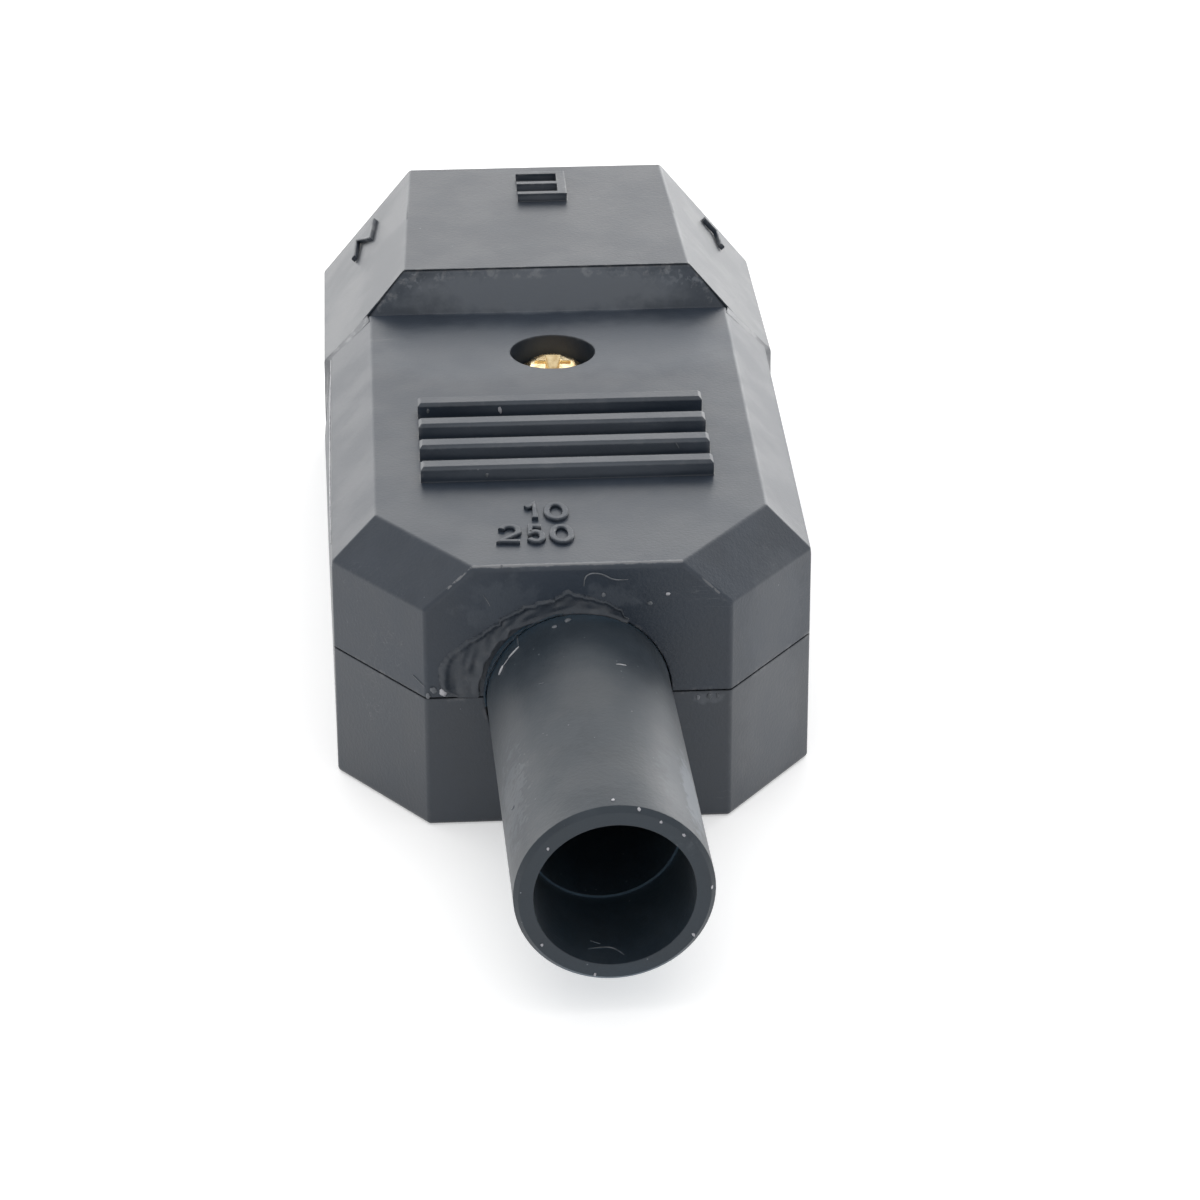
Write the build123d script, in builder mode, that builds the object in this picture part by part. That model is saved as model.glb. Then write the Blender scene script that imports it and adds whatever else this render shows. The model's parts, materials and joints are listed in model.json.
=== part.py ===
from build123d import *
from math import sqrt
import os

os.makedirs("parts", exist_ok=True)

# Housing. Distances called ahead are measured from the rear face towards the mating mouth.
body_length = 61.8
wall = 2.2
parting_z = 9.2
cover_z = 18.4
seam = 0.12
edge_round = 0.35
mouth_chamfer = 0.4

# Plan outline of the housing, half widths from the middle plane
rear_half_width = 9.75
shoulder_half_width = 15.55
front_half_width = 16.15
shoulder_ahead = 7.6
step_ahead = 41.15

# Upper facets of the cover
edge_half_width = 15.5
edge_z = 15.5
top_half_width = 12.65
top_corner_ahead = 8.15

# Raised lip at the front of the cover, which climbs to the top of the front block
lip_ahead = 42.28
lip_top_z = 21.26
lip_top_half_width = 10.21
lip_root_half_width = 8.5
lip_gap = 0.25
pry_notch = 0.6

# Front block around the mating cavity
block_side_half_width = 16.0
block_side_z = 15.0
mouth_half_width = 16.05
mouth_side_z = 13.5
mouth_top_half_width = 9.4
mouth_top_z = 21.55

# Mating cavity
cavity_width = 24.5
cavity_height = 16.5
cavity_depth = 17.5
cavity_corner = 4.95
cavity_low_z = 2.95

# Pins, two millimetres wide and four tall
pin_width = 2.0
pin_height = 4.0
pole_spacing = 7.0
power_z = 9.2
earth_z = 13.2
power_length = 14.0
earth_length = 16.0
tip_chamfer = 0.6
tenon_radius = 0.9
tenon_length = 0.9

# Terminals
block_width = 5.0
block_height = 5.6
block_below_pin = 3.3
power_block_length = 6.5
earth_block_length = 5.0
power_block_ahead = 41.1
earth_block_ahead = 43.0
wire_slot_width = 2.6
wire_slot_height = 3.0
wire_slot_rise = 1.3
power_slot_depth = 4.7
terminal_screw_radius = 1.5
terminal_screw_proud = 0.5
driver_slot_width = 0.6
driver_slot_depth = 0.7
guard_thickness = 0.35
guard_width = 2.4
guard_tab = 1.6
guard_drop = 0.25
fence_thickness = 0.9
rib_thickness = 1.2

# Raised grip ribs across the cover
grip_count = 4
grip_half_length = 9.6
grip_width = 1.32
grip_height = 1.05
grip_pitch = 3.41
grip_edge = 0.2
first_grip_ahead = 23.76

# Raised earth mark on top of the front block: three bars that share a stem
mark_low_z = 21.0
mark_z = 22.05
mark_ahead = 54.8
mark_bar = 0.5
mark_pitch = 2.02
mark_left = 1.55
mark_right = 2.07
mark_stem = 0.65

# Cover screw and its nut
screw_ahead = 33.9
counterbore_radius = 2.97
screw_seat_z = 15.8
screw_head_radius = 2.7
screw_head_height = 1.7
screw_head_flat = 1.75
screw_head_arc = 1.02
screw_radius = 1.5
screw_hole_radius = 1.6
screw_tip_z = 1.8
recess_span = 3.0
recess_width = 0.8
recess_depth = 1.0
post_radius = 3.9
post_low_radius = 2.9
post_shoulder_z = 14.6
nut_across_flats = 5.5
nut_low_z = 2.1
nut_high_z = 4.5
nut_gap = 0.1

# Cord boot. It leans to the right and droops a little, as rubber does.
boot_reach = 23.8
boot_lean = 0.9
boot_droop = 0.85
boot_root_radius = 5.88
boot_end_radius = 6.03
boot_mouth_bore = 4.85
boot_bore = 4.7
boot_mouth_depth = 7.4
boot_rim_chamfer = 0.3
boot_hole_radius = 6.0
flange_radius = 6.9
flange_start = 2.3
flange_end = 4.6
collar_start = 4.8
collar_end = 6.3
collar_hole_radius = 5.2

# Cord clamp
clamp_ahead = 12.0
clamp_length = 5.0
clamp_hole_spacing = 7.6
clamp_half_width = 10.4
clamp_ear = 2.0
cord_grip_radius = 3.4
saddle_radius = 5.3
cradle_thickness = 2.0
clamp_post_radius = 2.8
clamp_screw_radius = 1.2
clamp_screw_head = 2.5
clamp_screw_head_height = 1.7
clamp_screw_tip_z = 3.4
clamp_hole_radius = 1.4
clamp_corner = 1.2
clamp_screw_edge = 0.6

boot_axis = Vector(boot_lean, -boot_reach, -boot_droop)
rim_overhang = boot_end_radius * sqrt(1 - (boot_reach / boot_axis.length) ** 2)
rear_y = (boot_reach + rim_overhang - body_length) / 2
partition_ahead = body_length - cavity_depth


def ahead(distance):
    """Y of a point this far ahead of the rear face."""
    return rear_y + distance


def facet(first, second, third):
    """Plane through three points, each given as half width, distance ahead and height."""
    points = [Vector(x, ahead(y), z) for x, y, z in (first, second, third)]
    along = points[1] - points[0]
    return Plane(origin=points[0], x_dir=along, z_dir=along.cross(points[2] - points[0]))


def finish(piece, name):
    """Label a piece and write it to its own file."""
    piece.label = name
    export_step(piece, f"parts/{name}.step")


def outer_edges(piece):
    """Edges of a housing piece that don't lie in the parting plane or where cover and block meet."""
    near = 1e-4
    edges = piece.edges()
    parting = edges.filter_by_position(Axis.Z, parting_z - near, parting_z + near)
    step = edges.filter_by_position(Axis.Y, ahead(step_ahead) - near, ahead(step_ahead) + near)
    return edges - parting - step


def rear_hull(facets, inset, low, high, rounding=0):
    """Faceted rear body between two heights, with every wall moved in by inset."""
    with BuildPart() as hull:
        with BuildSketch(Plane.XY.offset(low)):
            with BuildLine():
                Polyline(
                    (0, ahead(inset)),
                    (front_half_width, ahead(inset)),
                    (front_half_width, ahead(step_ahead)),
                    (0, ahead(step_ahead)),
                    close=True,
                )
            make_face()
        extrude(amount=high - low)
        for face in facets:
            split(bisect_by=face.offset(-inset), keep=Keep.BOTTOM)
        mirror(about=Plane.YZ)
        if rounding:
            fillet(outer_edges(hull), rounding)
    return hull.part


def between_lip_ends(profile, gap):
    """Prism of a side profile, cut at both ends where the lip's slanted ends are, moved out by gap."""
    end = facet(
        (top_half_width, step_ahead, cover_z),
        (lip_root_half_width, lip_ahead, cover_z),
        (lip_top_half_width, lip_ahead, lip_top_z),
    )
    with BuildPart() as prism:
        with BuildSketch(Plane.YZ):
            with BuildLine():
                Polyline(*[(ahead(distance), height) for distance, height in profile], close=True)
            make_face()
        extrude(amount=front_half_width)
        split(bisect_by=end.offset(gap), keep=Keep.BOTTOM)
        mirror(about=Plane.YZ)
    return prism.part


# Vertical walls of the rear body
shoulder_wall = facet(
    (rear_half_width, 0, 0),
    (shoulder_half_width, shoulder_ahead, 0),
    (shoulder_half_width, shoulder_ahead, 1),
)
side_wall = facet(
    (shoulder_half_width, shoulder_ahead, 0),
    (front_half_width, step_ahead, 0),
    (front_half_width, step_ahead, 1),
)

# Sloping faces of the cover
side_draft = facet(
    (edge_half_width, step_ahead, edge_z),
    (edge_half_width, shoulder_ahead, edge_z),
    (front_half_width, step_ahead, parting_z),
)
side_chamfer = facet(
    (edge_half_width, shoulder_ahead, edge_z),
    (edge_half_width, step_ahead, edge_z),
    (top_half_width, top_corner_ahead, cover_z),
)
corner_chamfer = facet(
    (rear_half_width, 0, edge_z),
    (edge_half_width, shoulder_ahead, edge_z),
    (top_half_width, top_corner_ahead, cover_z),
)

tray_facets = [shoulder_wall, side_wall]
cover_facets = [shoulder_wall, side_wall, side_draft, side_chamfer, corner_chamfer]

ceiling_z = cover_z - wall
cover_shell = rear_hull(cover_facets, 0, parting_z, cover_z, edge_round)
cover_core = rear_hull(cover_facets, wall, parting_z, ceiling_z)
tray_shell = rear_hull(tray_facets, 0, 0, parting_z, edge_round)
tray_core = rear_hull(tray_facets, wall, wall, parting_z)

# Shallow rebate round the cover's lower edge, which shows as the parting line
with BuildPart() as seam_rebate:
    add(rear_hull(tray_facets, 0, parting_z, parting_z + seam))
    add(rear_hull(tray_facets, 2 * seam, parting_z, parting_z + seam), mode=Mode.SUBTRACT)

lip = between_lip_ends(
    [
        (step_ahead, ceiling_z),
        (step_ahead, cover_z),
        (lip_ahead, lip_top_z),
        (lip_ahead, ceiling_z),
    ],
    0,
)
lip_pocket = between_lip_ends(
    [
        (step_ahead, ceiling_z),
        (step_ahead, lip_top_z + wall),
        (lip_ahead + lip_gap, lip_top_z + wall),
        (lip_ahead + lip_gap, ceiling_z),
    ],
    lip_gap,
)

# Front block of the base, from its rear section to the slimmer section at the mouth
with BuildPart() as front_block:
    with BuildSketch(Plane.XZ.offset(-ahead(step_ahead))):
        with BuildLine():
            Polyline(
                (-front_half_width, 0),
                (front_half_width, 0),
                (block_side_half_width, block_side_z),
                (lip_top_half_width, lip_top_z),
                (-lip_top_half_width, lip_top_z),
                (-block_side_half_width, block_side_z),
                close=True,
            )
        make_face()
    with BuildSketch(Plane.XZ.offset(-ahead(body_length))):
        with BuildLine():
            Polyline(
                (-mouth_half_width, 0),
                (mouth_half_width, 0),
                (mouth_half_width, mouth_side_z),
                (mouth_top_half_width, mouth_top_z),
                (-mouth_top_half_width, mouth_top_z),
                (-mouth_half_width, mouth_side_z),
                close=True,
            )
        make_face()
    loft(ruled=True)
    fillet(outer_edges(front_block), edge_round)

# The base is one moulding: an open tray at the rear and a closed shroud at the front.
with BuildPart() as base:
    add(tray_shell)
    add(tray_core, mode=Mode.SUBTRACT)

    add(front_block.part)

    # Slope in front of which the cover's lip lies, and the pocket for the lip
    with BuildSketch(Plane.YZ):
        with BuildLine():
            Polyline(
                (ahead(step_ahead - wall), cover_z),
                (ahead(step_ahead), cover_z),
                (ahead(lip_ahead), lip_top_z),
                (ahead(lip_ahead), lip_top_z + wall),
                (ahead(step_ahead - wall), lip_top_z + wall),
                close=True,
            )
        make_face()
    extrude(amount=front_half_width, both=True, mode=Mode.SUBTRACT)
    add(lip_pocket, mode=Mode.SUBTRACT)

    # Mating cavity with its two slanted upper corners
    with BuildSketch(Plane.XZ.offset(-ahead(body_length))):
        with Locations((0, cavity_low_z + cavity_height / 2)):
            Rectangle(cavity_width, cavity_height)
        chamfer(vertices().group_by(Axis.Y)[-1], cavity_corner)
    extrude(amount=cavity_depth, mode=Mode.SUBTRACT)
    mouth_edges = base.faces().sort_by(Axis.Y)[-1].inner_wires()[0].edges()
    chamfer(mouth_edges, mouth_chamfer)

    # Round mouth of the boot, and the collar that keeps the boot's flange behind it
    with Locations((0, ahead((collar_start + collar_end) / 2), (wall + parting_z) / 2)):
        Box(
            2 * flange_radius + 2 * wall,
            collar_end - collar_start,
            parting_z - wall,
        )
    with BuildSketch(Plane.XZ.offset(-ahead(0))):
        with Locations((0, parting_z)):
            Circle(boot_hole_radius)
    extrude(amount=-collar_start, mode=Mode.SUBTRACT)
    with BuildSketch(Plane.XZ.offset(-ahead(0))):
        with Locations((0, parting_z)):
            Circle(collar_hole_radius)
    extrude(amount=-collar_end, mode=Mode.SUBTRACT)

    # Posts of the cord clamp, with a cradle for the cord between them
    with Locations((0, ahead(clamp_ahead), (wall + parting_z) / 2)):
        Box(2 * clamp_hole_spacing, cradle_thickness, parting_z - wall)
    with Locations(
        (-clamp_hole_spacing, ahead(clamp_ahead), wall),
        (clamp_hole_spacing, ahead(clamp_ahead), wall),
    ):
        Cylinder(
            clamp_post_radius,
            parting_z - wall,
            align=(Align.CENTER, Align.CENTER, Align.MIN),
        )
    with BuildSketch(Plane.XZ.offset(-ahead(clamp_ahead - cradle_thickness))):
        with Locations((0, parting_z)):
            Circle(cord_grip_radius)
    extrude(amount=-2 * cradle_thickness, mode=Mode.SUBTRACT)
    with Locations(
        (-clamp_hole_spacing, ahead(clamp_ahead), parting_z),
        (clamp_hole_spacing, ahead(clamp_ahead), parting_z),
    ):
        Hole(clamp_screw_radius, parting_z - clamp_screw_tip_z)

    # Post of the cover screw over the nut's pocket, which is open to the underside
    with Locations((0, ahead(screw_ahead), wall)):
        Cylinder(post_radius, parting_z - wall, align=(Align.CENTER, Align.CENTER, Align.MIN))
    with Locations((0, ahead(screw_ahead), parting_z)):
        Hole(screw_hole_radius)
    with BuildSketch(Plane.XY):
        with Locations((0, ahead(screw_ahead))):
            RegularPolygon((nut_across_flats + nut_gap) / 2, 6, major_radius=False)
    extrude(amount=nut_high_z, mode=Mode.SUBTRACT)

    # Pedestals under the terminal blocks, with fences beside them
    for x in (-pole_spacing, pole_spacing):
        with Locations((x, ahead(step_ahead - power_block_length / 2), wall)):
            Box(
                block_width,
                power_block_length,
                power_z - block_below_pin - wall,
                align=(Align.CENTER, Align.CENTER, Align.MIN),
            )
        fence_x = x + (block_width + fence_thickness) / 2 * (1 if x > 0 else -1)
        with Locations((fence_x, ahead(step_ahead - power_block_length / 2), wall)):
            Box(
                fence_thickness,
                power_block_length,
                parting_z - wall,
                align=(Align.CENTER, Align.CENTER, Align.MIN),
            )
    with Locations((0, ahead(step_ahead), wall)):
        Box(
            block_width + 2 * fence_thickness,
            step_ahead - screw_ahead - post_radius,
            earth_z - block_below_pin - wall,
            align=(Align.CENTER, Align.MAX, Align.MIN),
        )

    # Recess of the earth terminal in the partition, and the slots for the three blades
    with Locations((0, ahead(earth_block_ahead), earth_z - block_below_pin)):
        Box(
            block_width + 2 * fence_thickness,
            2 * (earth_block_ahead - step_ahead),
            ceiling_z - earth_z + block_below_pin,
            align=(Align.CENTER, Align.MAX, Align.MIN),
            mode=Mode.SUBTRACT,
        )
    for x, z in ((-pole_spacing, power_z), (pole_spacing, power_z), (0, earth_z)):
        with Locations((x, ahead(partition_ahead), z)):
            Box(
                pin_width,
                2 * (partition_ahead - step_ahead),
                pin_height,
                mode=Mode.SUBTRACT,
            )

    # Earth mark
    for row in range(3):
        with Locations((-mark_left, ahead(mark_ahead + row * mark_pitch), mark_low_z)):
            Box(
                mark_left + mark_right,
                mark_bar,
                mark_z - mark_low_z,
                align=(Align.MIN, Align.MIN, Align.MIN),
            )
    with Locations((mark_right, ahead(mark_ahead), mark_low_z)):
        Box(
            mark_stem,
            2 * mark_pitch + mark_bar,
            mark_z - mark_low_z,
            align=(Align.MAX, Align.MIN, Align.MIN),
        )

finish(base.part, "base")

with BuildPart() as grip_ribs:
    first_grip = ahead(first_grip_ahead)
    with Locations(*[(0, first_grip - row * grip_pitch, cover_z) for row in range(grip_count)]):
        Box(2 * grip_half_length, grip_width, 2 * grip_height)
    chamfer(grip_ribs.faces().group_by(Axis.Z)[-1].edges(), grip_edge)

# The cover is the upper rear half shell.
with BuildPart() as cover:
    add(cover_shell)
    add(cover_core, mode=Mode.SUBTRACT)
    add(lip)
    add(seam_rebate.part, mode=Mode.SUBTRACT)

    # Pry notch at the cover's lower front corners
    with BuildSketch(Plane.YZ):
        with BuildLine():
            Polyline(
                (ahead(step_ahead - pry_notch), parting_z),
                (ahead(step_ahead), parting_z),
                (ahead(step_ahead), parting_z + pry_notch),
                close=True,
            )
        make_face()
    extrude(amount=front_half_width, both=True, mode=Mode.SUBTRACT)

    # Half collar behind the boot's flange
    with Locations((0, ahead((collar_start + collar_end) / 2), parting_z)):
        Box(
            2 * flange_radius + 2 * wall,
            collar_end - collar_start,
            ceiling_z - parting_z,
            align=(Align.CENTER, Align.CENTER, Align.MIN),
        )
    with BuildSketch(Plane.XZ.offset(-ahead(0))):
        with Locations((0, parting_z)):
            Circle(boot_hole_radius)
    extrude(amount=-collar_start, mode=Mode.SUBTRACT)
    with BuildSketch(Plane.XZ.offset(-ahead(0))):
        with Locations((0, parting_z)):
            Circle(collar_hole_radius)
    extrude(amount=-collar_end, mode=Mode.SUBTRACT)

    # Post of the cover screw, wider under the counterbore
    with Locations((0, ahead(screw_ahead), parting_z)):
        Cylinder(
            post_low_radius,
            ceiling_z - parting_z,
            align=(Align.CENTER, Align.CENTER, Align.MIN),
        )
    with Locations((0, ahead(screw_ahead), post_shoulder_z)):
        Cylinder(
            post_radius,
            ceiling_z - post_shoulder_z,
            align=(Align.CENTER, Align.CENTER, Align.MIN),
        )
    with Locations((0, ahead(screw_ahead), cover_z)):
        CounterBoreHole(screw_hole_radius, counterbore_radius, cover_z - screw_seat_z)

    # Ribs that hold the live and neutral terminals down
    for x in (-pole_spacing, pole_spacing):
        with Locations((x, ahead(step_ahead - rib_thickness), ceiling_z)):
            Box(
                block_width,
                rib_thickness,
                ceiling_z - power_z + block_below_pin - block_height,
                align=(Align.CENTER, Align.CENTER, Align.MAX),
            )

    # Grip ribs
    add(grip_ribs.part)

finish(cover.part, "cover")

# Rubber boot: a flange inside the housing, a short straight neck and a leaning tube
neck_plane = Plane.XZ.offset(-ahead(0))
tube_root = Vector(0, ahead(0), parting_z)
tube_plane = Plane(origin=tube_root, x_dir=(1, 0, 0), z_dir=boot_axis)
with BuildPart() as cord_boot:
    with BuildSketch(Plane.XZ.offset(-ahead(flange_start))):
        with Locations((0, parting_z)):
            Circle(flange_radius)
    extrude(amount=-(flange_end - flange_start))
    with BuildSketch(neck_plane):
        with Locations((0, parting_z)):
            Circle(boot_root_radius)
    extrude(amount=-flange_end)
    with Locations(tube_plane.location):
        Cone(
            boot_root_radius,
            boot_end_radius,
            boot_axis.length,
            align=(Align.CENTER, Align.CENTER, Align.MIN),
        )
    rim = cord_boot.edges().filter_by(GeomType.CIRCLE).sort_by(Axis.Y)[0]
    chamfer(rim, boot_rim_chamfer)
    with BuildSketch(neck_plane):
        with Locations((0, parting_z)):
            Circle(boot_bore)
    extrude(amount=-flange_end, mode=Mode.SUBTRACT)
    with BuildSketch(tube_plane):
        Circle(boot_bore)
    extrude(amount=boot_axis.length, mode=Mode.SUBTRACT)
    with BuildSketch(tube_plane.offset(boot_axis.length - boot_mouth_depth)):
        Circle(boot_mouth_bore)
    extrude(amount=boot_mouth_depth, mode=Mode.SUBTRACT)

finish(cord_boot.part, "cord_boot")

# Cover screw: pan head with a cross recess
with BuildPart() as cover_screw:
    with BuildSketch(Plane.XZ.offset(-ahead(screw_ahead))):
        head_low = screw_seat_z
        head_high = screw_seat_z + screw_head_height
        with BuildLine():
            Polyline(
                (0, head_high),
                (0, screw_tip_z),
                (screw_radius, screw_tip_z),
                (screw_radius, head_low),
                (screw_head_radius, head_low),
                (screw_head_radius, head_low + screw_head_height / 2),
            )
            RadiusArc(
                (screw_head_radius, head_low + screw_head_height / 2),
                (screw_head_flat, head_high),
                -screw_head_arc,
            )
            Line((screw_head_flat, head_high), (0, head_high))
        make_face()
    revolve(axis=Axis((0, ahead(screw_ahead), 0), (0, 0, 1)))
    with BuildSketch(Plane.XY.offset(head_high)):
        with Locations((0, ahead(screw_ahead))):
            Rectangle(recess_span, recess_width)
            Rectangle(recess_width, recess_span)
    extrude(amount=-recess_depth, mode=Mode.SUBTRACT)

finish(cover_screw.part, "cover_screw")

with BuildPart() as cover_nut:
    with BuildSketch(Plane.XY.offset(nut_low_z)):
        with Locations((0, ahead(screw_ahead))):
            RegularPolygon(nut_across_flats / 2, 6, major_radius=False)
            Circle(screw_radius, mode=Mode.SUBTRACT)
    extrude(amount=nut_high_z - nut_low_z)

finish(cover_nut.part, "cover_nut")


def make_pin(name, x, z, start, length):
    """Flat blade with a chamfered tip and a round tenon at its root."""
    with BuildPart() as pin:
        with Locations((x, ahead(start), z)):
            Box(
                pin_width,
                length,
                pin_height,
                align=(Align.CENTER, Align.MIN, Align.CENTER),
            )
        chamfer(pin.faces().sort_by(Axis.Y)[-1].edges(), tip_chamfer)
        with BuildSketch(Plane.XZ.offset(-ahead(start))):
            with Locations((x, z)):
                Circle(tenon_radius)
        extrude(amount=tenon_length)
    finish(pin.part, name)


for name, x in (("pin_live", -pole_spacing), ("pin_neutral", pole_spacing)):
    make_pin(name, x, power_z, power_block_ahead, partition_ahead - power_block_ahead + power_length)
make_pin(
    "pin_earth",
    0,
    earth_z,
    earth_block_ahead,
    partition_ahead - earth_block_ahead + earth_length,
)


def make_terminal(pole, seat, length, slot_depth, pin_x, pin_z, front):
    """Terminal of one pole on its seat: the drilled block, its screw and the leaf under the screw.

    The seat's plane has its origin under the middle of the block and its Y axis along the wire.
    """
    slot_top = wire_slot_rise + wire_slot_height
    screw_y = (slot_depth - length) / 2
    leaf_top = slot_top - guard_drop
    with BuildPart(seat) as block:
        Box(block_width, length, block_height, align=(Align.CENTER, Align.CENTER, Align.MIN))
        with Locations((0, -length / 2, wire_slot_rise)):
            Box(
                wire_slot_width,
                slot_depth,
                wire_slot_height,
                align=(Align.CENTER, Align.MIN, Align.MIN),
                mode=Mode.SUBTRACT,
            )
        with Locations((0, screw_y, block_height)):
            Hole(terminal_screw_radius, block_height - leaf_top)
        with BuildSketch(Plane.XZ.offset(-ahead(front))):
            with Locations((pin_x, pin_z)):
                Circle(tenon_radius)
        extrude(amount=tenon_length, mode=Mode.SUBTRACT)
    finish(block.part, f"terminal_{pole}")

    with BuildPart(seat) as screw:
        with Locations((0, screw_y, leaf_top)):
            Cylinder(
                terminal_screw_radius,
                block_height + terminal_screw_proud - leaf_top,
                align=(Align.CENTER, Align.CENTER, Align.MIN),
            )
        with Locations((0, screw_y, block_height + terminal_screw_proud)):
            Box(
                2 * terminal_screw_radius,
                driver_slot_width,
                2 * driver_slot_depth,
                mode=Mode.SUBTRACT,
            )
    finish(screw.part, f"screw_{pole}")

    with BuildPart(seat) as guard:
        with Locations((0, -length / 2 - guard_thickness, leaf_top - guard_thickness)):
            Box(
                guard_width,
                slot_depth,
                guard_thickness,
                align=(Align.CENTER, Align.MIN, Align.MIN),
            )
            Box(
                guard_width,
                guard_thickness,
                guard_tab,
                align=(Align.CENTER, Align.MIN, Align.MIN),
            )
    finish(guard.part, f"guard_{pole}")


for pole, x in (("live", -pole_spacing), ("neutral", pole_spacing)):
    power_middle = ahead(power_block_ahead - power_block_length / 2)
    make_terminal(
        pole,
        Plane(origin=(x, power_middle, power_z - block_below_pin)),
        power_block_length,
        power_slot_depth,
        x,
        power_z,
        power_block_ahead,
    )

# The earth wire comes in from the side, because the cover screw's post stands behind its block.
earth_middle = ahead(earth_block_ahead - earth_block_length / 2)
make_terminal(
    "earth",
    Plane(origin=(0, earth_middle, earth_z - block_below_pin), x_dir=(0, -1, 0)),
    block_width,
    block_width,
    0,
    earth_z,
    earth_block_ahead,
)

# Saddle of the cord clamp: an arch over the cord between two ears
with BuildPart() as cord_clamp:
    with BuildSketch(Plane.XZ.offset(-ahead(clamp_ahead - clamp_length / 2))):
        with Locations((0, parting_z)):
            Circle(saddle_radius)
            Rectangle(2 * clamp_half_width, 2 * clamp_ear)
            Circle(cord_grip_radius, mode=Mode.SUBTRACT)
            Rectangle(
                2 * clamp_half_width,
                2 * saddle_radius,
                align=(Align.CENTER, Align.MAX),
                mode=Mode.SUBTRACT,
            )
    extrude(amount=-clamp_length)
    ear_corners = cord_clamp.edges().filter_by(Axis.Z).group_by(Axis.X)
    fillet(ear_corners[0] + ear_corners[-1], clamp_corner)
    with Locations(
        (-clamp_hole_spacing, ahead(clamp_ahead), parting_z + clamp_ear),
        (clamp_hole_spacing, ahead(clamp_ahead), parting_z + clamp_ear),
    ):
        Hole(clamp_hole_radius)

finish(cord_clamp.part, "cord_clamp")

# Tapping screws of the saddle
for name, x in (("clamp_screw_left", -clamp_hole_spacing), ("clamp_screw_right", clamp_hole_spacing)):
    seat_z = parting_z + clamp_ear
    with BuildPart() as clamp_screw:
        with Locations((x, ahead(clamp_ahead), seat_z)):
            Cylinder(
                clamp_screw_head,
                clamp_screw_head_height,
                align=(Align.CENTER, Align.CENTER, Align.MIN),
            )
            Cylinder(
                clamp_screw_radius,
                seat_z - clamp_screw_tip_z,
                align=(Align.CENTER, Align.CENTER, Align.MAX),
            )
        chamfer(clamp_screw.edges().sort_by(Axis.Z)[-1], clamp_screw_edge)
        with Locations((x, ahead(clamp_ahead), seat_z + clamp_screw_head_height)):
            Box(2 * clamp_screw_radius, recess_width, recess_depth, mode=Mode.SUBTRACT)
            Box(recess_width, 2 * clamp_screw_radius, recess_depth, mode=Mode.SUBTRACT)
    finish(clamp_screw.part, name)
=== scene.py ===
"""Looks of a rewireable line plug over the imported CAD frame: moulded housing, boot, screw and marks."""

import json
import logging
import math
import random
from dataclasses import dataclass, field, replace
from enum import Enum

import bmesh
import bpy
from mathutils import Matrix, Vector, noise
from mathutils.bvhtree import BVHTree


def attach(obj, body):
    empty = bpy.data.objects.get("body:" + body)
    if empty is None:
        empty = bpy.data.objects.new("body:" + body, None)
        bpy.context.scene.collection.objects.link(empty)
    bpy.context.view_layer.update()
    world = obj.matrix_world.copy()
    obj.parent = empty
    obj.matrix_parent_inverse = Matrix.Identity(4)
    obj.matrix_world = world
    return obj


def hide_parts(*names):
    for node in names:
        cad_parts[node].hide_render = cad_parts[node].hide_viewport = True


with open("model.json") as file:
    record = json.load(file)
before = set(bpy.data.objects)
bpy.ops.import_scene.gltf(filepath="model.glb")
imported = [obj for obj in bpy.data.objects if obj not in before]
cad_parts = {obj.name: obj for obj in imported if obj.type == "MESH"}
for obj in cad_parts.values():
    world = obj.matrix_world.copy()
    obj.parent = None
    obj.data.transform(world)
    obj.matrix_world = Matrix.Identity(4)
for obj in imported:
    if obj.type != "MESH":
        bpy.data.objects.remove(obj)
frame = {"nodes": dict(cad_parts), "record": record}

MM = 0.001
NOWHERE = (0.0, 0.0, 0.0)
WHITE = (1.0, 1.0, 1.0)
UPWARD = (0.0, 0.0, 1.0)
CRUMB_SEED = 11

# Moulded plastic: lumps to the millimetre, shares of each effect, what rubbing and dust do to roughness
MOTTLE_SCALE = 0.22
WEAR_BREAKUP = 0.9
SHEEN_ROUGHNESS = 0.35
SCRATCH_WEIGHT = 0.3
WEAR_WEIGHT = 0.45
DUST_WEIGHT = 0.6
MOTTLE_LIFT = 1.2
WORN_RIM = 0.3
ROUGHNESS_SPREAD = 0.03
RUBBED_POLISH = 0.08
DUST_DULLING = 0.4
# Metal: painted shade in its crevices, as a share of its dull colour
METAL_PAINTED_SHADE = 0.45

log = logging.getLogger("plug")

Colour = tuple[float, float, float]
Point = tuple[float, float, float]
Pixel = tuple[float, float]
Socket = bpy.types.NodeSocket
Value = float | Socket
Node = bpy.types.Node
Material = bpy.types.Material
Mesh = bpy.types.Mesh
Shape = bmesh.types.BMesh
Inputs = dict[int | str, object]


class Effect(Enum):
    """Shader node groups that several materials share."""

    GRAIN = "moulded_grain"
    # The wear group also gives the crevice mask that paints shade.
    WEAR = "edge_wear"
    SCRATCHES = "hair_scratches"
    DUST = "settled_dust"
    SMUDGE = "local_smudge"
    # The rubbed line group also draws painted edge highlights.
    RUB = "rubbed_line"


class Slot(Enum):
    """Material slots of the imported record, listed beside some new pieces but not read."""

    HOUSING = "housing"
    BOOT = "boot"
    SCREW = "yellow_screw"


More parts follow.
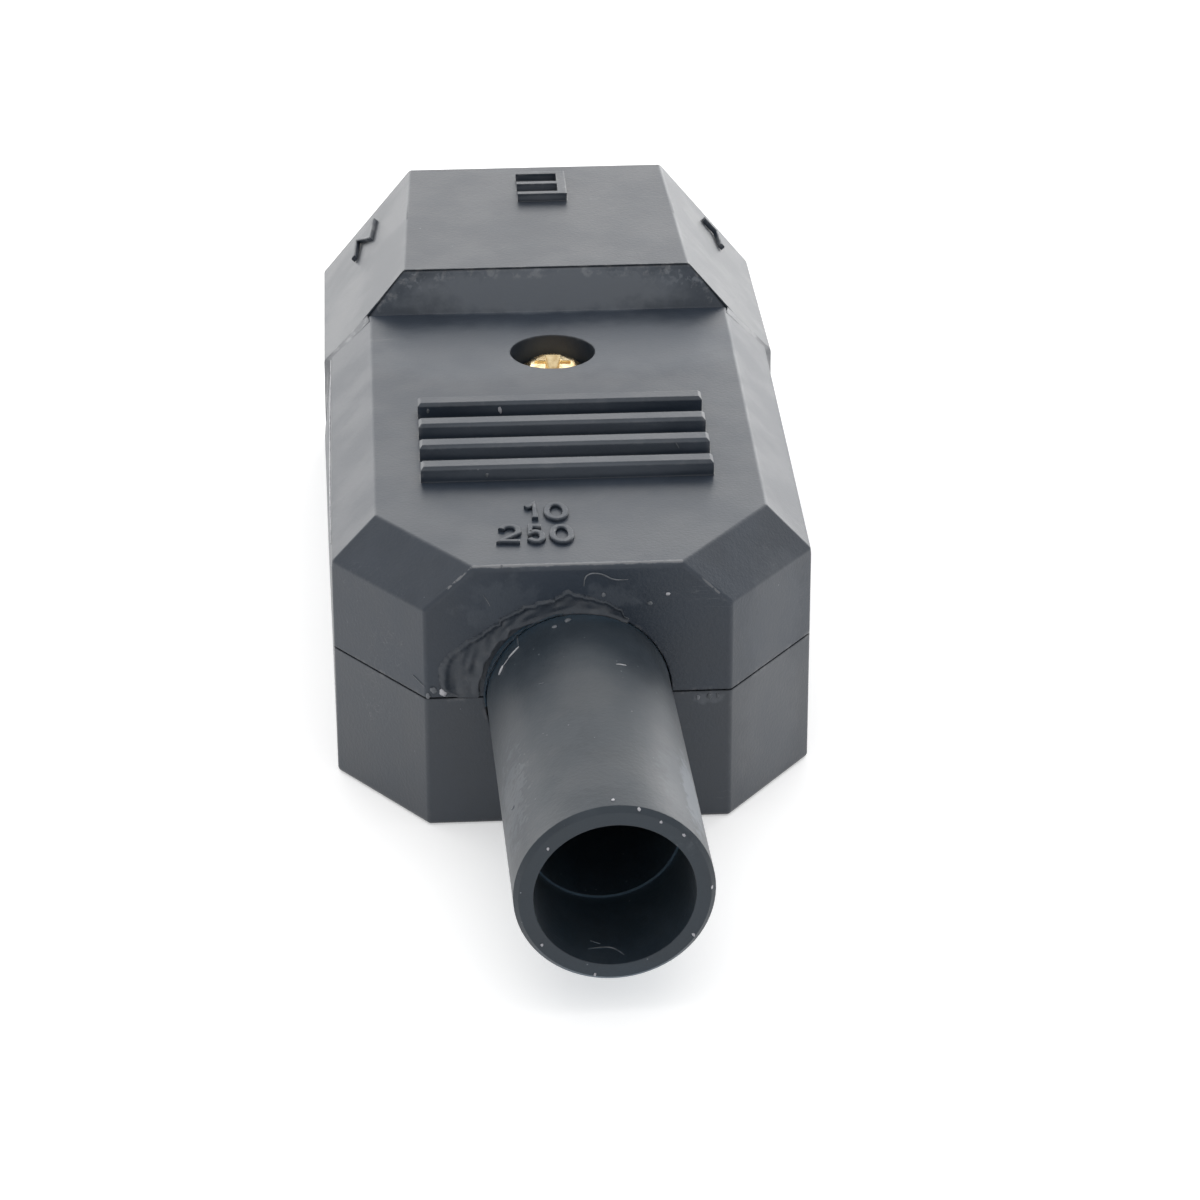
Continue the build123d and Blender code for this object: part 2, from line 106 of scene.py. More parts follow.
@dataclass
class Graph:
    """Short ways to add and link nodes in one node tree.

    Args:
        tree: The tree that the nodes go into.
    """

    tree: bpy.types.NodeTree

    def add(self, kind: str, inputs: Inputs | None = None, **settings: object) -> Node:
        """Add a node.

        Args:
            kind: Blender's type name of the node.
            inputs: What to feed its inputs, by number or name.
            settings: Properties to set on it.

        Returns:
            The new node.
        """
        node = self.tree.nodes.new(kind)
        for name, value in settings.items():
            setattr(node, name, value)
        self.fill(node, inputs or {})
        return node

    def fill(self, node: Node, inputs: Inputs) -> None:
        """Feed several inputs of a node, by number or name."""
        for socket, value in inputs.items():
            self.feed(node.inputs[socket], value)

    def feed(self, socket: Socket, value: object) -> None:
        """Link a socket to another one, or set its constant.

        Args:
            socket: The input to fill.
            value: A socket, a number, a vector or a colour.
        """
        if isinstance(value, bpy.types.NodeSocket):
            self.tree.links.new(value, socket)
        elif isinstance(socket, bpy.types.NodeSocketColor) and len(value) == 3:
            socket.default_value = (*value, 1.0)
        else:
            socket.default_value = value

    def math(self, operation: str, first: Value, second: Value = 0.0, clamp: bool = False) -> Socket:
        """Result of a math operation on two values, kept between 0 and 1 if clamp is set."""
        node = self.add("ShaderNodeMath", {0: first, 1: second}, operation=operation, use_clamp=clamp)
        return node.outputs[0]

    def vector(self, operation: str, first: object, second: object = NOWHERE) -> Socket:
        """Result of a vector operation, a number for a dot product or a length."""
        node = self.add("ShaderNodeVectorMath", {0: first, 1: second}, operation=operation)
        return node.outputs["Value" if operation in ("DOT_PRODUCT", "LENGTH") else "Vector"]

    def scaled(self, direction: Socket, factor: Value) -> Socket:
        """A vector stretched to so many times its length."""
        node = self.add("ShaderNodeVectorMath", {0: direction, "Scale": factor}, operation="SCALE")
        return node.outputs[0]

    def ramp(self, value: Socket, low: Value, high: Value, start: Value = 0.0, end: Value = 1.0) -> Socket:
        """A value moved smoothly from the range low to high into the range start to end."""
        span = {"Value": value, "From Min": low, "From Max": high, "To Min": start, "To Max": end}
        return self.add("ShaderNodeMapRange", span, interpolation_type="SMOOTHSTEP").outputs[0]

    def noise(self, position: Socket, scale: Value, detail: float = 2.0, roughness: float = 0.5) -> Socket:
        """Noise between 0 and 1 with scale lumps to the millimetre and finer layers over them."""
        looks = {"Vector": position, "Scale": scale, "Detail": detail, "Roughness": roughness}
        return self.add("ShaderNodeTexNoise", looks).outputs["Fac"]

    def blend(self, share: Value, first: object, second: object) -> Socket:
        """Mix of two colours, with the given share of the second."""
        return self.add("ShaderNodeMix", {0: share, 6: first, 7: second}, data_type="RGBA").outputs[2]

    def millimetres(self) -> Socket:
        """Place of the shaded point in the row frame, in millimetres."""
        return self.scaled(self.add("ShaderNodeTexCoord").outputs["Object"], 1 / MM)

    def effect(self, effect: Effect, **values: object) -> Node:
        """Group node of a shared effect, fed by input names with underscores for spaces."""
        inputs = {name.replace("_", " "): value for name, value in values.items()}
        return self.add("ShaderNodeGroup", inputs, node_tree=bpy.data.node_groups[effect.value])

    def stronger(self, mask: Value, effect: Node, weight: float) -> Socket:
        """The larger of a mask and an effect's own mask times a weight."""
        return self.math("MAXIMUM", mask, self.math("MULTIPLY", effect.outputs["Mask"], weight))


def new_material(name: str) -> tuple[Material, Graph, Node]:
    """Start a node material.

    Args:
        name: Its name.

    Returns:
        The material, its graph and its shader.
    """
    material = bpy.data.materials.new(name)
    material.use_nodes = True
    return material, Graph(material.node_tree), material.node_tree.nodes["Principled BSDF"]


def roughen(graph: Graph, shader: Node, grain: Node, depth: float, normal: Socket | None = None) -> None:
    """Press a grain into a material's surface.

    Args:
        graph: The material's graph.
        shader: Its shader.
        grain: The grain effect.
        depth: Depth of the grain, in millimetres.
        normal: The normal under the grain, where it isn't the mesh's own.
    """
    bump = graph.add("ShaderNodeBump", {"Distance": depth * MM, "Height": grain.outputs["Height"]})
    if normal:
        graph.feed(bump.inputs["Normal"], normal)
    graph.feed(shader.inputs["Normal"], bump.outputs[0])


GroupParts = tuple[Graph, bpy.types.NodeOutputs, bpy.types.NodeInputs]


@dataclass
class EffectLibrary:
    """Builds the shared shader node groups. Every place in them is in millimetres.

    Args:
        samples: Rays of the node that finds edges.
    """

    samples: int = 4

    def build(self) -> None:
        """Build every group once."""
        self.grain()
        self.wear()
        self.scratches()
        self.dust()
        self.smudge()
        self.rub()

    def start(self, effect: Effect, outputs: tuple[str, ...] = ("Mask",), **inputs: object) -> GroupParts:
        """Make an empty group with its sockets.

        Args:
            effect: The group's name.
            outputs: Its outputs, which are numbers.
            inputs: Default of each input beside the place.

        Returns:
            The group's graph, the sockets that its inputs come from and the sockets that its outputs go to.
        """
        tree = bpy.data.node_groups.new(effect.value, "ShaderNodeTree")
        for name, default in {"Place": NOWHERE, **inputs}.items():
            kind = "NodeSocketVector" if isinstance(default, tuple) else "NodeSocketFloat"
            tree.interface.new_socket(name=name, in_out="INPUT", socket_type=kind).default_value = default
        for name in outputs:
            tree.interface.new_socket(name=name, in_out="OUTPUT", socket_type="NodeSocketFloat")
        graph = Graph(tree)
        return graph, graph.add("NodeGroupInput").outputs, graph.add("NodeGroupOutput").inputs

    def grain(self) -> None:
        """Fine texture of a moulded face: a height for bump and a slow mottle."""
        inputs = {"Fine Scale": 4.0, "Mottle Scale": 0.25}
        graph, given, made = self.start(Effect.GRAIN, ("Height", "Mottle"), **inputs)
        fine = graph.noise(given["Place"], given["Fine Scale"], 3.0, 0.6)
        slow = graph.noise(given["Place"], given["Mottle Scale"], 4.0, 0.55)
        waves = graph.math("MULTIPLY", slow, 1.5)
        graph.feed(made["Height"], graph.math("ADD", fine, waves))
        graph.feed(made["Mottle"], graph.ramp(slow, 0.3, 0.7))

    def wear(self) -> None:
        """Masks of rubbed outer edges, broken up by noise, and of the crevices where faces meet, for
        painted shade.
        """
        inputs = {"Reach": 0.3, "Crevice Reach": 1.0, "Breakup": 1.0, "Amount": 0.5}
        graph, given, made = self.start(Effect.WEAR, ("Mask", "Crevice"), **inputs)
        reach = graph.math("MULTIPLY", given["Reach"], MM)
        occlusion = "ShaderNodeAmbientOcclusion"
        looks = {"samples": self.samples, "inside": True, "only_local": True}
        within = graph.add(occlusion, {"Distance": reach}, **looks)
        edge = graph.ramp(within.outputs["AO"], 0.9, 0.6)
        rubbed = graph.noise(given["Place"], given["Breakup"], 5.0, 0.65)
        limit = graph.math("SUBTRACT", 0.85, graph.math("MULTIPLY", given["Amount"], 0.5))
        kept = graph.ramp(rubbed, graph.math("SUBTRACT", limit, 0.12), limit)
        graph.feed(made["Mask"], graph.math("MULTIPLY", edge, kept))
        # Crevice mask from occlusion by nearby walls, for painting shade into hollows.
        far = graph.math("MULTIPLY", given["Crevice Reach"], MM)
        around = graph.add(occlusion, {"Distance": far}, samples=self.samples)
        graph.feed(made["Crevice"], graph.ramp(around.outputs["AO"], 0.45, 0.15))

    def scratches(self) -> None:
        """Mask of hair scratches: thin bands of two stretched noises that cross."""
        graph, given, made = self.start(Effect.SCRATCHES, Density=0.5)
        masks = []
        for turn, stretch in ((0.5, (0.12, 1.6, 1.6)), (-1.0, (0.1, 1.9, 1.9))):
            turned = {"Vector": given["Place"], "Rotation": (0.3 * turn, 0.2, turn), "Scale": stretch}
            lines = graph.noise(graph.add("ShaderNodeMapping", turned).outputs[0], 1.0, 1.0, 0.4)
            offset = graph.math("ABSOLUTE", graph.math("SUBTRACT", lines, 0.5))
            masks.append(graph.ramp(offset, 0.006, 0.0))
        both = graph.math("MAXIMUM", masks[0], masks[1])
        where = graph.noise(given["Place"], 0.12, 2.0, 0.5)
        limit = graph.math("SUBTRACT", 0.75, graph.math("MULTIPLY", given["Density"], 0.4))
        kept = graph.ramp(where, limit, graph.math("ADD", limit, 0.15))
        graph.feed(made["Mask"], graph.math("MULTIPLY", both, kept))

    def dust(self) -> None:
        """Mask of dust on faces that look up: fine specks, and a thin film that gathers in lumps."""
        graph, given, made = self.start(Effect.DUST, Specks=0.5, Film=0.3)
        normal = graph.add("ShaderNodeNewGeometry").outputs["Normal"]
        up = graph.vector("DOT_PRODUCT", normal, UPWARD)
        facing = graph.ramp(up, 0.1, 0.9)
        cells = graph.add("ShaderNodeTexVoronoi", {"Vector": given["Place"], "Scale": 1.3})
        near = graph.ramp(cells.outputs["Distance"], 0.08, 0.03)
        chosen = graph.noise(given["Place"], 0.6, 1.0, 0.5)
        limit = graph.math("SUBTRACT", 0.8, graph.math("MULTIPLY", given["Specks"], 0.35))
        specks = graph.math("MULTIPLY", near, graph.ramp(chosen, limit, graph.math("ADD", limit, 0.05)))
        lumps = graph.ramp(graph.noise(given["Place"], 0.35, 6.0, 0.7), 0.35, 0.75)
        film = graph.math("MULTIPLY", graph.math("MULTIPLY", lumps, given["Film"]), facing)
        graph.feed(made["Mask"], graph.math("MAXIMUM", specks, film))

    def smudge(self) -> None:
        """Mask of one blotch with a ragged edge, such as a smear, a rubbed place or a patch of painted
        light.
        """
        inputs = {"Centre": NOWHERE, "Reach": (1.0, 1.0, 1.0), "Breakup": 1.0, "Raggedness": 0.5}
        graph, given, made = self.start(Effect.SMUDGE, **inputs)
        offset = graph.vector("SUBTRACT", given["Place"], given["Centre"])
        distance = graph.vector("LENGTH", graph.vector("DIVIDE", offset, given["Reach"]))
        ragged = graph.noise(given["Place"], given["Breakup"], 5.0, 0.6)
        shift = graph.math("MULTIPLY", graph.math("SUBTRACT", ragged, 0.5), 4.0)
        edge = graph.math("ADD", distance, graph.math("MULTIPLY", shift, given["Raggedness"]))
        graph.feed(made["Mask"], graph.ramp(edge, 1.0, 0.45))

    def rub(self) -> None:
        """Mask of one pale line between two points, with gaps, for rubbed wear and a painted edge
        highlight.
        """
        inputs = {"Start": NOWHERE, "End": (1.0, 0.0, 0.0), "Width": 0.1, "Breakup": 1.5, "Cover": 0.6}
        graph, given, made = self.start(Effect.RUB, **inputs)
        along = graph.vector("SUBTRACT", given["End"], given["Start"])
        offset = graph.vector("SUBTRACT", given["Place"], given["Start"])
        reach = graph.vector("DOT_PRODUCT", along, along)
        share = graph.math("DIVIDE", graph.vector("DOT_PRODUCT", offset, along), reach, clamp=True)
        distance = graph.vector("LENGTH", graph.vector("SUBTRACT", offset, graph.scaled(along, share)))
        rough = graph.noise(given["Place"], given["Breakup"], 4.0, 0.6)
        width = graph.math("MULTIPLY", given["Width"], graph.ramp(rough, 0.3, 0.7, 0.6, 1.3))
        line = graph.ramp(graph.math("DIVIDE", distance, width), 1.0, 0.4)
        limit = graph.math("SUBTRACT", 0.8, graph.math("MULTIPLY", given["Cover"], 0.6))
        kept = graph.ramp(rough, graph.math("SUBTRACT", limit, 0.08), limit)
        graph.feed(made["Mask"], graph.math("MULTIPLY", line, kept))


@dataclass(frozen=True)
class SmudgeAndPaintedLight:
    """One blotch on a moulded piece: some are smudges of dust and glue, others painted light that lifts a
    shaded face.

    Args:
        centre: Its middle, in millimetres.
        reach: Half its size along each axis, in millimetres.
        weight: How strongly it shows.
        breakup: Lumps of its ragged edge to the millimetre.
        raggedness: How ragged that edge is.
    """

    centre: Point
    reach: Point
    weight: float
    breakup: float
    raggedness: float

    def place(self, graph: Graph, point: Socket) -> Node:
        """Its effect in a material whose shaded point is given."""
        looks = {"Breakup": self.breakup, "Raggedness": self.raggedness}
        return graph.effect(Effect.SMUDGE, Place=point, Centre=self.centre, Reach=self.reach, **looks)


@dataclass(frozen=True)
class RubAndPaintedHighlight:
    """One pale line on a moulded piece, partly rubbed wear and partly a painted edge highlight.

    Args:
        start: Where it starts, in millimetres.
        end: Where it ends, in millimetres.
        width: Half its width, in millimetres.
        weight: How strongly it shows.
        cover: How much of its length is rubbed.
    """

    start: Point
    end: Point
    width: float
    weight: float
    cover: float

    def place(self, graph: Graph, point: Socket) -> Node:
        """Its effect in a material whose shaded point is given."""
        looks = {"Width": self.width, "Cover": self.cover}
        return graph.effect(Effect.RUB, Place=point, Start=self.start, End=self.end, **looks)


@dataclass(frozen=True)
class Moulding:
    """Finish of a moulded plastic or rubber piece.

    Args:
        name: The material's name.
        colour: Colour of the clean surface.
        worn_and_highlight: Colour of rubbed edges and scratches, and of the pale lines that partly paint an
            edge highlight.
        dust: Colour of dust, also laid over the blotches that paint light.
        painted_hollow_tone: Painted light and shade in crevices and bores, where occlusion finds them:
            darker than the surface it paints shade, paler it paints a glow.
        hollow_reach: How far away a wall still brings in that painted tone, in millimetres.
        roughness: Roughness of the clean surface.
        gloss: Refractive index, which sets how bright reflections are.
        sheen: Weight of the soft glow at grazing angles.
        grain: Depth of the fine texture, in millimetres.
        fine_scale: Lumps of that texture to the millimetre.
        edge: Radius within which an edge looks rounded, in millimetres.
        wear: How much of the edges is rubbed.
        specks: How many dust specks there are.
        film: Weight of the dust film.
        smudges_and_painted_light: Blotches at places of their own, some of them smudges and some painted
            light.
        rubs_and_painted_highlights: Pale lines at places of their own, partly rubbed wear and partly a
            painted edge highlight.
    """

    name: str
    colour: Colour
    worn_and_highlight: Colour = (0.16, 0.165, 0.175)
    dust: Colour = (0.38, 0.41, 0.45)
    painted_hollow_tone: Colour = (0.012, 0.018, 0.026)
    hollow_reach: float = 1.0
    roughness: float = 0.4
    gloss: float = 1.53
    sheen: float = 0.12
    grain: float = 0.009
    fine_scale: float = 4.5
    edge: float = 0.14
    wear: float = 0.45
    specks: float = 0.4
    film: float = 0.04
    smudges_and_painted_light: tuple[SmudgeAndPaintedLight, ...] = ()
    rubs_and_painted_highlights: tuple[RubAndPaintedHighlight, ...] = ()

    def material(self) -> Material:
        """Build the material.

        Returns:
            A node material of that finish.
        """
        material, graph, shader = new_material(self.name)
        place = graph.millimetres()
        scales = {"Fine_Scale": self.fine_scale, "Mottle_Scale": MOTTLE_SCALE}
        grain = graph.effect(Effect.GRAIN, Place=place, **scales)
        reaches = {"Reach": WORN_RIM, "Crevice_Reach": self.hollow_reach}
        wear = graph.effect(Effect.WEAR, Place=place, Breakup=WEAR_BREAKUP, Amount=self.wear, **reaches)
        scratches = graph.effect(Effect.SCRATCHES, Place=place, Density=self.wear)
        dust = graph.effect(Effect.DUST, Place=place, Specks=self.specks, Film=self.film)

        light = tuple(part * MOTTLE_LIFT for part in self.colour)
        colour = graph.blend(grain.outputs["Mottle"], self.colour, light)
        # Painted light and shade: occlusion finds crevices and bores and blends in the painted hollow tone.
        colour = graph.blend(wear.outputs["Crevice"], colour, self.painted_hollow_tone)
        rubbed = graph.stronger(0.0, scratches, SCRATCH_WEIGHT)
        rubbed = graph.stronger(rubbed, wear, WEAR_WEIGHT)
        # Pale lines along edges: partly rubbed wear, partly a painted edge highlight.
        for rub in self.rubs_and_painted_highlights:
            rubbed = graph.stronger(rubbed, rub.place(graph, place), rub.weight)
        colour = graph.blend(rubbed, colour, self.worn_and_highlight)
        # Dust, then the blotches: some are smudges, others painted light that lifts shaded faces in the
        # dust colour.
        film = graph.stronger(0.0, dust, DUST_WEIGHT)
        for smudge in self.smudges_and_painted_light:
            film = graph.stronger(film, smudge.place(graph, place), smudge.weight)
        graph.feed(shader.inputs["Base Color"], graph.blend(film, colour, self.dust))

        low, high = self.roughness - ROUGHNESS_SPREAD, self.roughness + ROUGHNESS_SPREAD
        rough = graph.ramp(grain.outputs["Mottle"], 0.0, 1.0, low, high)
        rough = graph.math("SUBTRACT", rough, graph.math("MULTIPLY", rubbed, RUBBED_POLISH))
        rough = graph.math("ADD", rough, graph.math("MULTIPLY", film, DUST_DULLING))
        graph.feed(shader.inputs["Roughness"], rough)

        rounded = graph.add("ShaderNodeBevel", {"Radius": self.edge * MM}, samples=4)
        roughen(graph, shader, grain, self.grain, rounded.outputs[0])
        graph.fill(shader, {"Sheen Weight": self.sheen, "Sheen Roughness": SHEEN_ROUGHNESS})
        graph.fill(shader, {"IOR": self.gloss})
        return material


@dataclass(frozen=True)
class Metal:
    """Finish of a plated or bare metal piece.

    Args:
        name: The material's name.
        colour: Colour of the clean metal.
        dull: Colour of its dull and dirty places.
        roughness: Roughness of the clean metal.
        unevenness: How much rougher its dull places are.
        brushing: Depth of its tool marks, in millimetres.
        fine_scale: Lumps of those marks to the millimetre.
        mottle_scale: Dull places to the millimetre.
        rim: Width of its polished edges, in millimetres.
        painted_shade_reach: How far away a wall still paints shade into it, in millimetres.
    """

    name: str
    colour: Colour
    dull: Colour
    roughness: float = 0.22
    unevenness: float = 0.18
    brushing: float = 0.004
    fine_scale: float = 9.0
    mottle_scale: float = 1.1
    rim: float = 0.15
    painted_shade_reach: float = 0.4

    def material(self) -> Material:
        """Build the material.

        Returns:
            A node material of that finish.
        """
        material, graph, shader = new_material(self.name)
        place = graph.millimetres()
        scales = {"Fine_Scale": self.fine_scale, "Mottle_Scale": self.mottle_scale}
        grain = graph.effect(Effect.GRAIN, Place=place, **scales)
        reaches = {"Reach": self.rim, "Crevice_Reach": self.painted_shade_reach}
        wear = graph.effect(Effect.WEAR, Place=place, Breakup=2.5, Amount=0.9, **reaches)
        colour = graph.blend(grain.outputs["Mottle"], self.colour, self.dull)
        colour = graph.blend(wear.outputs["Mask"], colour, self.colour)
        # Painted shade: crevices found by occlusion are darkened towards a share of the dull colour.
        shade = tuple(part * METAL_PAINTED_SHADE for part in self.dull)
        graph.feed(shader.inputs["Base Color"], graph.blend(wear.outputs["Crevice"], colour, shade))
        shader.inputs["Metallic"].default_value = 1.0
        low, high = self.roughness, self.roughness + self.unevenness
        graph.feed(shader.inputs["Roughness"], graph.ramp(grain.outputs["Mottle"], 0.0, 1.0, low, high))
        roughen(graph, shader, grain, self.brushing)
        return material


@dataclass(frozen=True)
class Crumb:
    """Finish of small pale things on the plug, such as lint and glue crumbs, and of pale strands that paint
    glints and an edge highlight.

    Args:
        name: The material's name.
        colour: Colour of its pale places.
        shade: Colour of its dull places.
        roughness: Its roughness.
        unevenness: How much rougher or smoother it is in places.
        lumps: Depth of its lumps, in millimetres.
        fine_scale: Lumps to the millimetre.
        mottle_scale: Dull places to the millimetre.
    """

    name: str
    colour: Colour
    shade: Colour
    roughness: float = 0.6
    unevenness: float = 0.1
    lumps: float = 0.02
    fine_scale: float = 12.0
    mottle_scale: float = 1.6

    def material(self) -> Material:
        """Build the material.

        Returns:
            A node material of that finish.
        """
        material, graph, shader = new_material(self.name)
        place = graph.millimetres()
        scales = {"Fine_Scale": self.fine_scale, "Mottle_Scale": self.mottle_scale}
        grain = graph.effect(Effect.GRAIN, Place=place, **scales)
        mottle = grain.outputs["Mottle"]
        graph.feed(shader.inputs["Base Color"], graph.blend(mottle, self.colour, self.shade))
        low, high = self.roughness - self.unevenness, self.roughness + self.unevenness
        graph.feed(shader.inputs["Roughness"], graph.ramp(mottle, 0.0, 1.0, low, high))
        roughen(graph, shader, grain, self.lumps)
        return material


@dataclass(frozen=True)
class PhotoCamera:
    """Camera at the photograph's viewing angle.

    Args:
        place: Where it stands, in millimetres.
        azimuth: Its turn about the vertical, in degrees.
        elevation: Its height above the horizon, in degrees.
        roll: Its tilt to the side, in degrees.
        lens: Focal length, in millimetres.
        sensor: Width of its sensor, in millimetres.
        pixels: Width and height of the image.
    """

    place: Point = (-12.22, -264.09, 139.03)
    azimuth: float = 3.174
    elevation: float = 26.62
    roll: float = -0.19
    lens: float = 130.63
    sensor: float = 36.0
    pixels: int = 1200

    def matrix(self) -> Matrix:
        """Place and turn of the camera, in metres."""
        turn = Matrix.Rotation(math.radians(-self.azimuth), 4, "Z")
        tilt = Matrix.Rotation(math.radians(90 - self.elevation), 4, "X")
        roll = Matrix.Rotation(math.radians(self.roll), 4, "Z")
        return Matrix.Translation(Vector(self.place) * MM) @ turn @ tilt @ roll

    def build(self) -> None:
        """Put the camera into the scene."""
        data = bpy.data.cameras.new("camera")
        data.lens = self.lens
        data.sensor_width = self.sensor
        data.clip_start = 0.01
        camera = bpy.data.objects.new("camera", data)
        bpy.context.scene.collection.objects.link(camera)
        camera.matrix_world = self.matrix()
        bpy.context.scene.camera = camera

    def line(self, pixel: Pixel) -> tuple[Vector, Vector]:
        """Line of sight through a point of the image.

        Args:
            pixel: The point, from the image's top left corner.

        Returns:
            Where the line starts and where it goes.
        """
        focal = self.lens / self.sensor * self.pixels
        middle = self.pixels / 2
        matrix = self.matrix()
        local = Vector(((pixel[0] - middle) / focal, (middle - pixel[1]) / focal, -1.0))
        return matrix.translation, (matrix.to_3x3() @ local).normalized()


@dataclass(frozen=True)
class Spot:
    """A point on the plug's surface.

    Args:
        place: The point, in metres.
        normal: The surface's outward direction there.
    """

    place: Vector
    normal: Vector

    def millimetres(self) -> Point:
        """The point in millimetres."""
        return tuple(self.place / MM)


@dataclass
class Sight:
    """Finds the surface of the plug behind a point of the photograph.

    Args:
        camera: The camera that took it.
        nodes: The CAD nodes that the line of sight can meet.
    """

    camera: PhotoCamera
    nodes: tuple[str, ...] = ("base", "cover", "cord_boot")
    tree: BVHTree = field(init=False)

    def __post_init__(self) -> None:
        """Gather the faces of the nodes."""
        points = []
        faces = []
        for name in self.nodes:
            mesh = frame["nodes"][name].data
            first = len(points)
            points.extend(vertex.co.copy() for vertex in mesh.vertices)
            faces.extend([first + index for index in polygon.vertices] for polygon in mesh.polygons)
        self.tree = BVHTree.FromPolygons(points, faces)

    def spot(self, pixel: Pixel) -> Spot:
        """Surface behind a point of the photograph.

        Args:
            pixel: The point, in the photograph's 1200 pixels.

        Returns:
            The spot there.
        """
        start, way = self.camera.line(pixel)
        place, normal, _, _ = self.tree.ray_cast(start, way)
        return Spot(place, normal if normal.dot(way) < 0 else -normal)


def add_piece(name: str, mesh: Mesh, material: Material) -> bpy.types.Object:
    """Put a finished mesh on the plug.

    Args:
        name: The piece's name.
        mesh: Its mesh, in the row frame.
        material: Its material.

    Returns:
        The piece.
    """
    piece = bpy.data.objects.new(name, mesh)
    bpy.context.scene.collection.objects.link(piece)
    mesh.materials.clear()
    mesh.materials.append(material)
    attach(piece, "root")
    log.info("built %s with %d faces", name, len(mesh.polygons))
    return piece


def shaded_smooth(mesh: Mesh, limit: float = 35.0) -> None:
    """Smooth a mesh's shading and keep edges sharper than limit degrees."""
    mesh.shade_smooth()
    mesh.set_sharp_from_angle(angle=math.radians(limit))


def finished(shape: Shape, name: str) -> Mesh:
    """Turn an edited shape into a mesh with its faces looking outward.

    Args:
        shape: The edited shape, which is used up.
        name: The mesh's name.

    Returns:
        The mesh.
    """
    bmesh.ops.recalc_face_normals(shape, faces=shape.faces)
    mesh = bpy.data.meshes.new(name)
    shape.to_mesh(mesh)
    shape.free()
    return mesh


def join_rings(shape: Shape, rings: list[list[bmesh.types.BMVert]], closed: bool = False) -> None:
    """Join rings of points into a tube.

    Args:
        shape: The shape that they belong to.
        rings: The rings, each with as many points.
        closed: Whether the last ring meets the first, instead of a cap on each.
    """
    for ring, after in zip(rings, rings[1:] + rings[: 1 if closed else 0]):
        for corner in range(len(ring)):
            beside = (corner + 1) % len(ring)
            shape.faces.new((ring[corner], ring[beside], after[beside], after[corner]))
    if not closed:
        shape.faces.new(rings[0])
        shape.faces.new(list(reversed(rings[-1])))


def carved(body: Mesh, cutter: Mesh) -> Mesh:
    """Cut one mesh out of another.

    Args:
        body: The mesh that is cut.
        cutter: The mesh that is taken away.

    Returns:
        What is left of the body.
    """
    holders = []
    for mesh in (body, cutter):
        holder = bpy.data.objects.new(mesh.name + "_holder", mesh)
        bpy.context.scene.collection.objects.link(holder)
        holders.append(holder)
    cut = holders[0].modifiers.new("cut", "BOOLEAN")
    cut.object = holders[1]
    cut.solver = "EXACT"
    graph = bpy.context.evaluated_depsgraph_get()
    made = bpy.data.meshes.new_from_object(holders[0].evaluated_get(graph))
    for holder in holders:
        bpy.data.objects.remove(holder)
    return made


def bend(centre: Pixel, reach: Pixel, start: float, end: float, steps: int = 14) -> tuple[Pixel, ...]:
    """Points along part of an ellipse.

    Args:
        centre: The ellipse's middle.
        reach: Half its width and half its height.
        start: Angle of the first point, in degrees from the right, turning left.
        end: Angle of the last point.
        steps: Points after the first.

    Returns:
        The points.
    """
    angles = [math.radians(start + (end - start) * step / steps) for step in range(steps + 1)]
    turns = [(math.cos(angle), math.sin(angle)) for angle in angles]
    return tuple((centre[0] + reach[0] * across, centre[1] + reach[1] * rise) for across, rise in turns)


class Figure(Enum):
    """Line that each generic figure or pole letter is drawn with, in a box of one by one."""

    NEUTRAL = ((0.0, 0.0), (0.0, 1.0), (1.0, 0.0), (1.0, 1.0))
    LIVE = ((0.0, 1.0), (0.0, 0.0), (1.0, 0.0))
    ONE = ((0.0, 0.72), (0.35, 0.8), (0.8, 1.0), (0.8, 0.0))
    TWO = (*bend((0.5, 0.69), (0.47, 0.31), 165.0, -38.0), (0.0, 0.0), (1.0, 0.0))
    FIVE = ((0.92, 1.0), (0.14, 1.0), (0.06, 0.52), *bend((0.47, 0.32), (0.5, 0.32), 128.0, -150.0))
    NOUGHT = bend((0.5, 0.5), (0.5, 0.5), 0.0, 348.0, 29)


@dataclass(frozen=True)
class Mark:
    """One raised figure or pole letter, in a box that may lean with the face that it stands on.

    Args:
        figure: What it reads.
        foot: Lower left corner of its box, in millimetres.
        along: From there to the lower right corner.
        up: From there to the upper left corner.
    """

    figure: Figure
    foot: Point
    along: Point
    up: Point


@dataclass(frozen=True)
class MarkGroup:
    """Marks that make one piece.

    Args:
        name: The piece's name.
        marks: The marks.
        stroke: Width of their strokes, in millimetres.
        relief: How far they stand out, in millimetres.
    """

    name: str
    marks: tuple[Mark, ...]
    stroke: float
    relief: float


LETTER = {"stroke": 0.4, "relief": 0.16}
FIGURE = {"stroke": 0.42, "relief": 0.25}


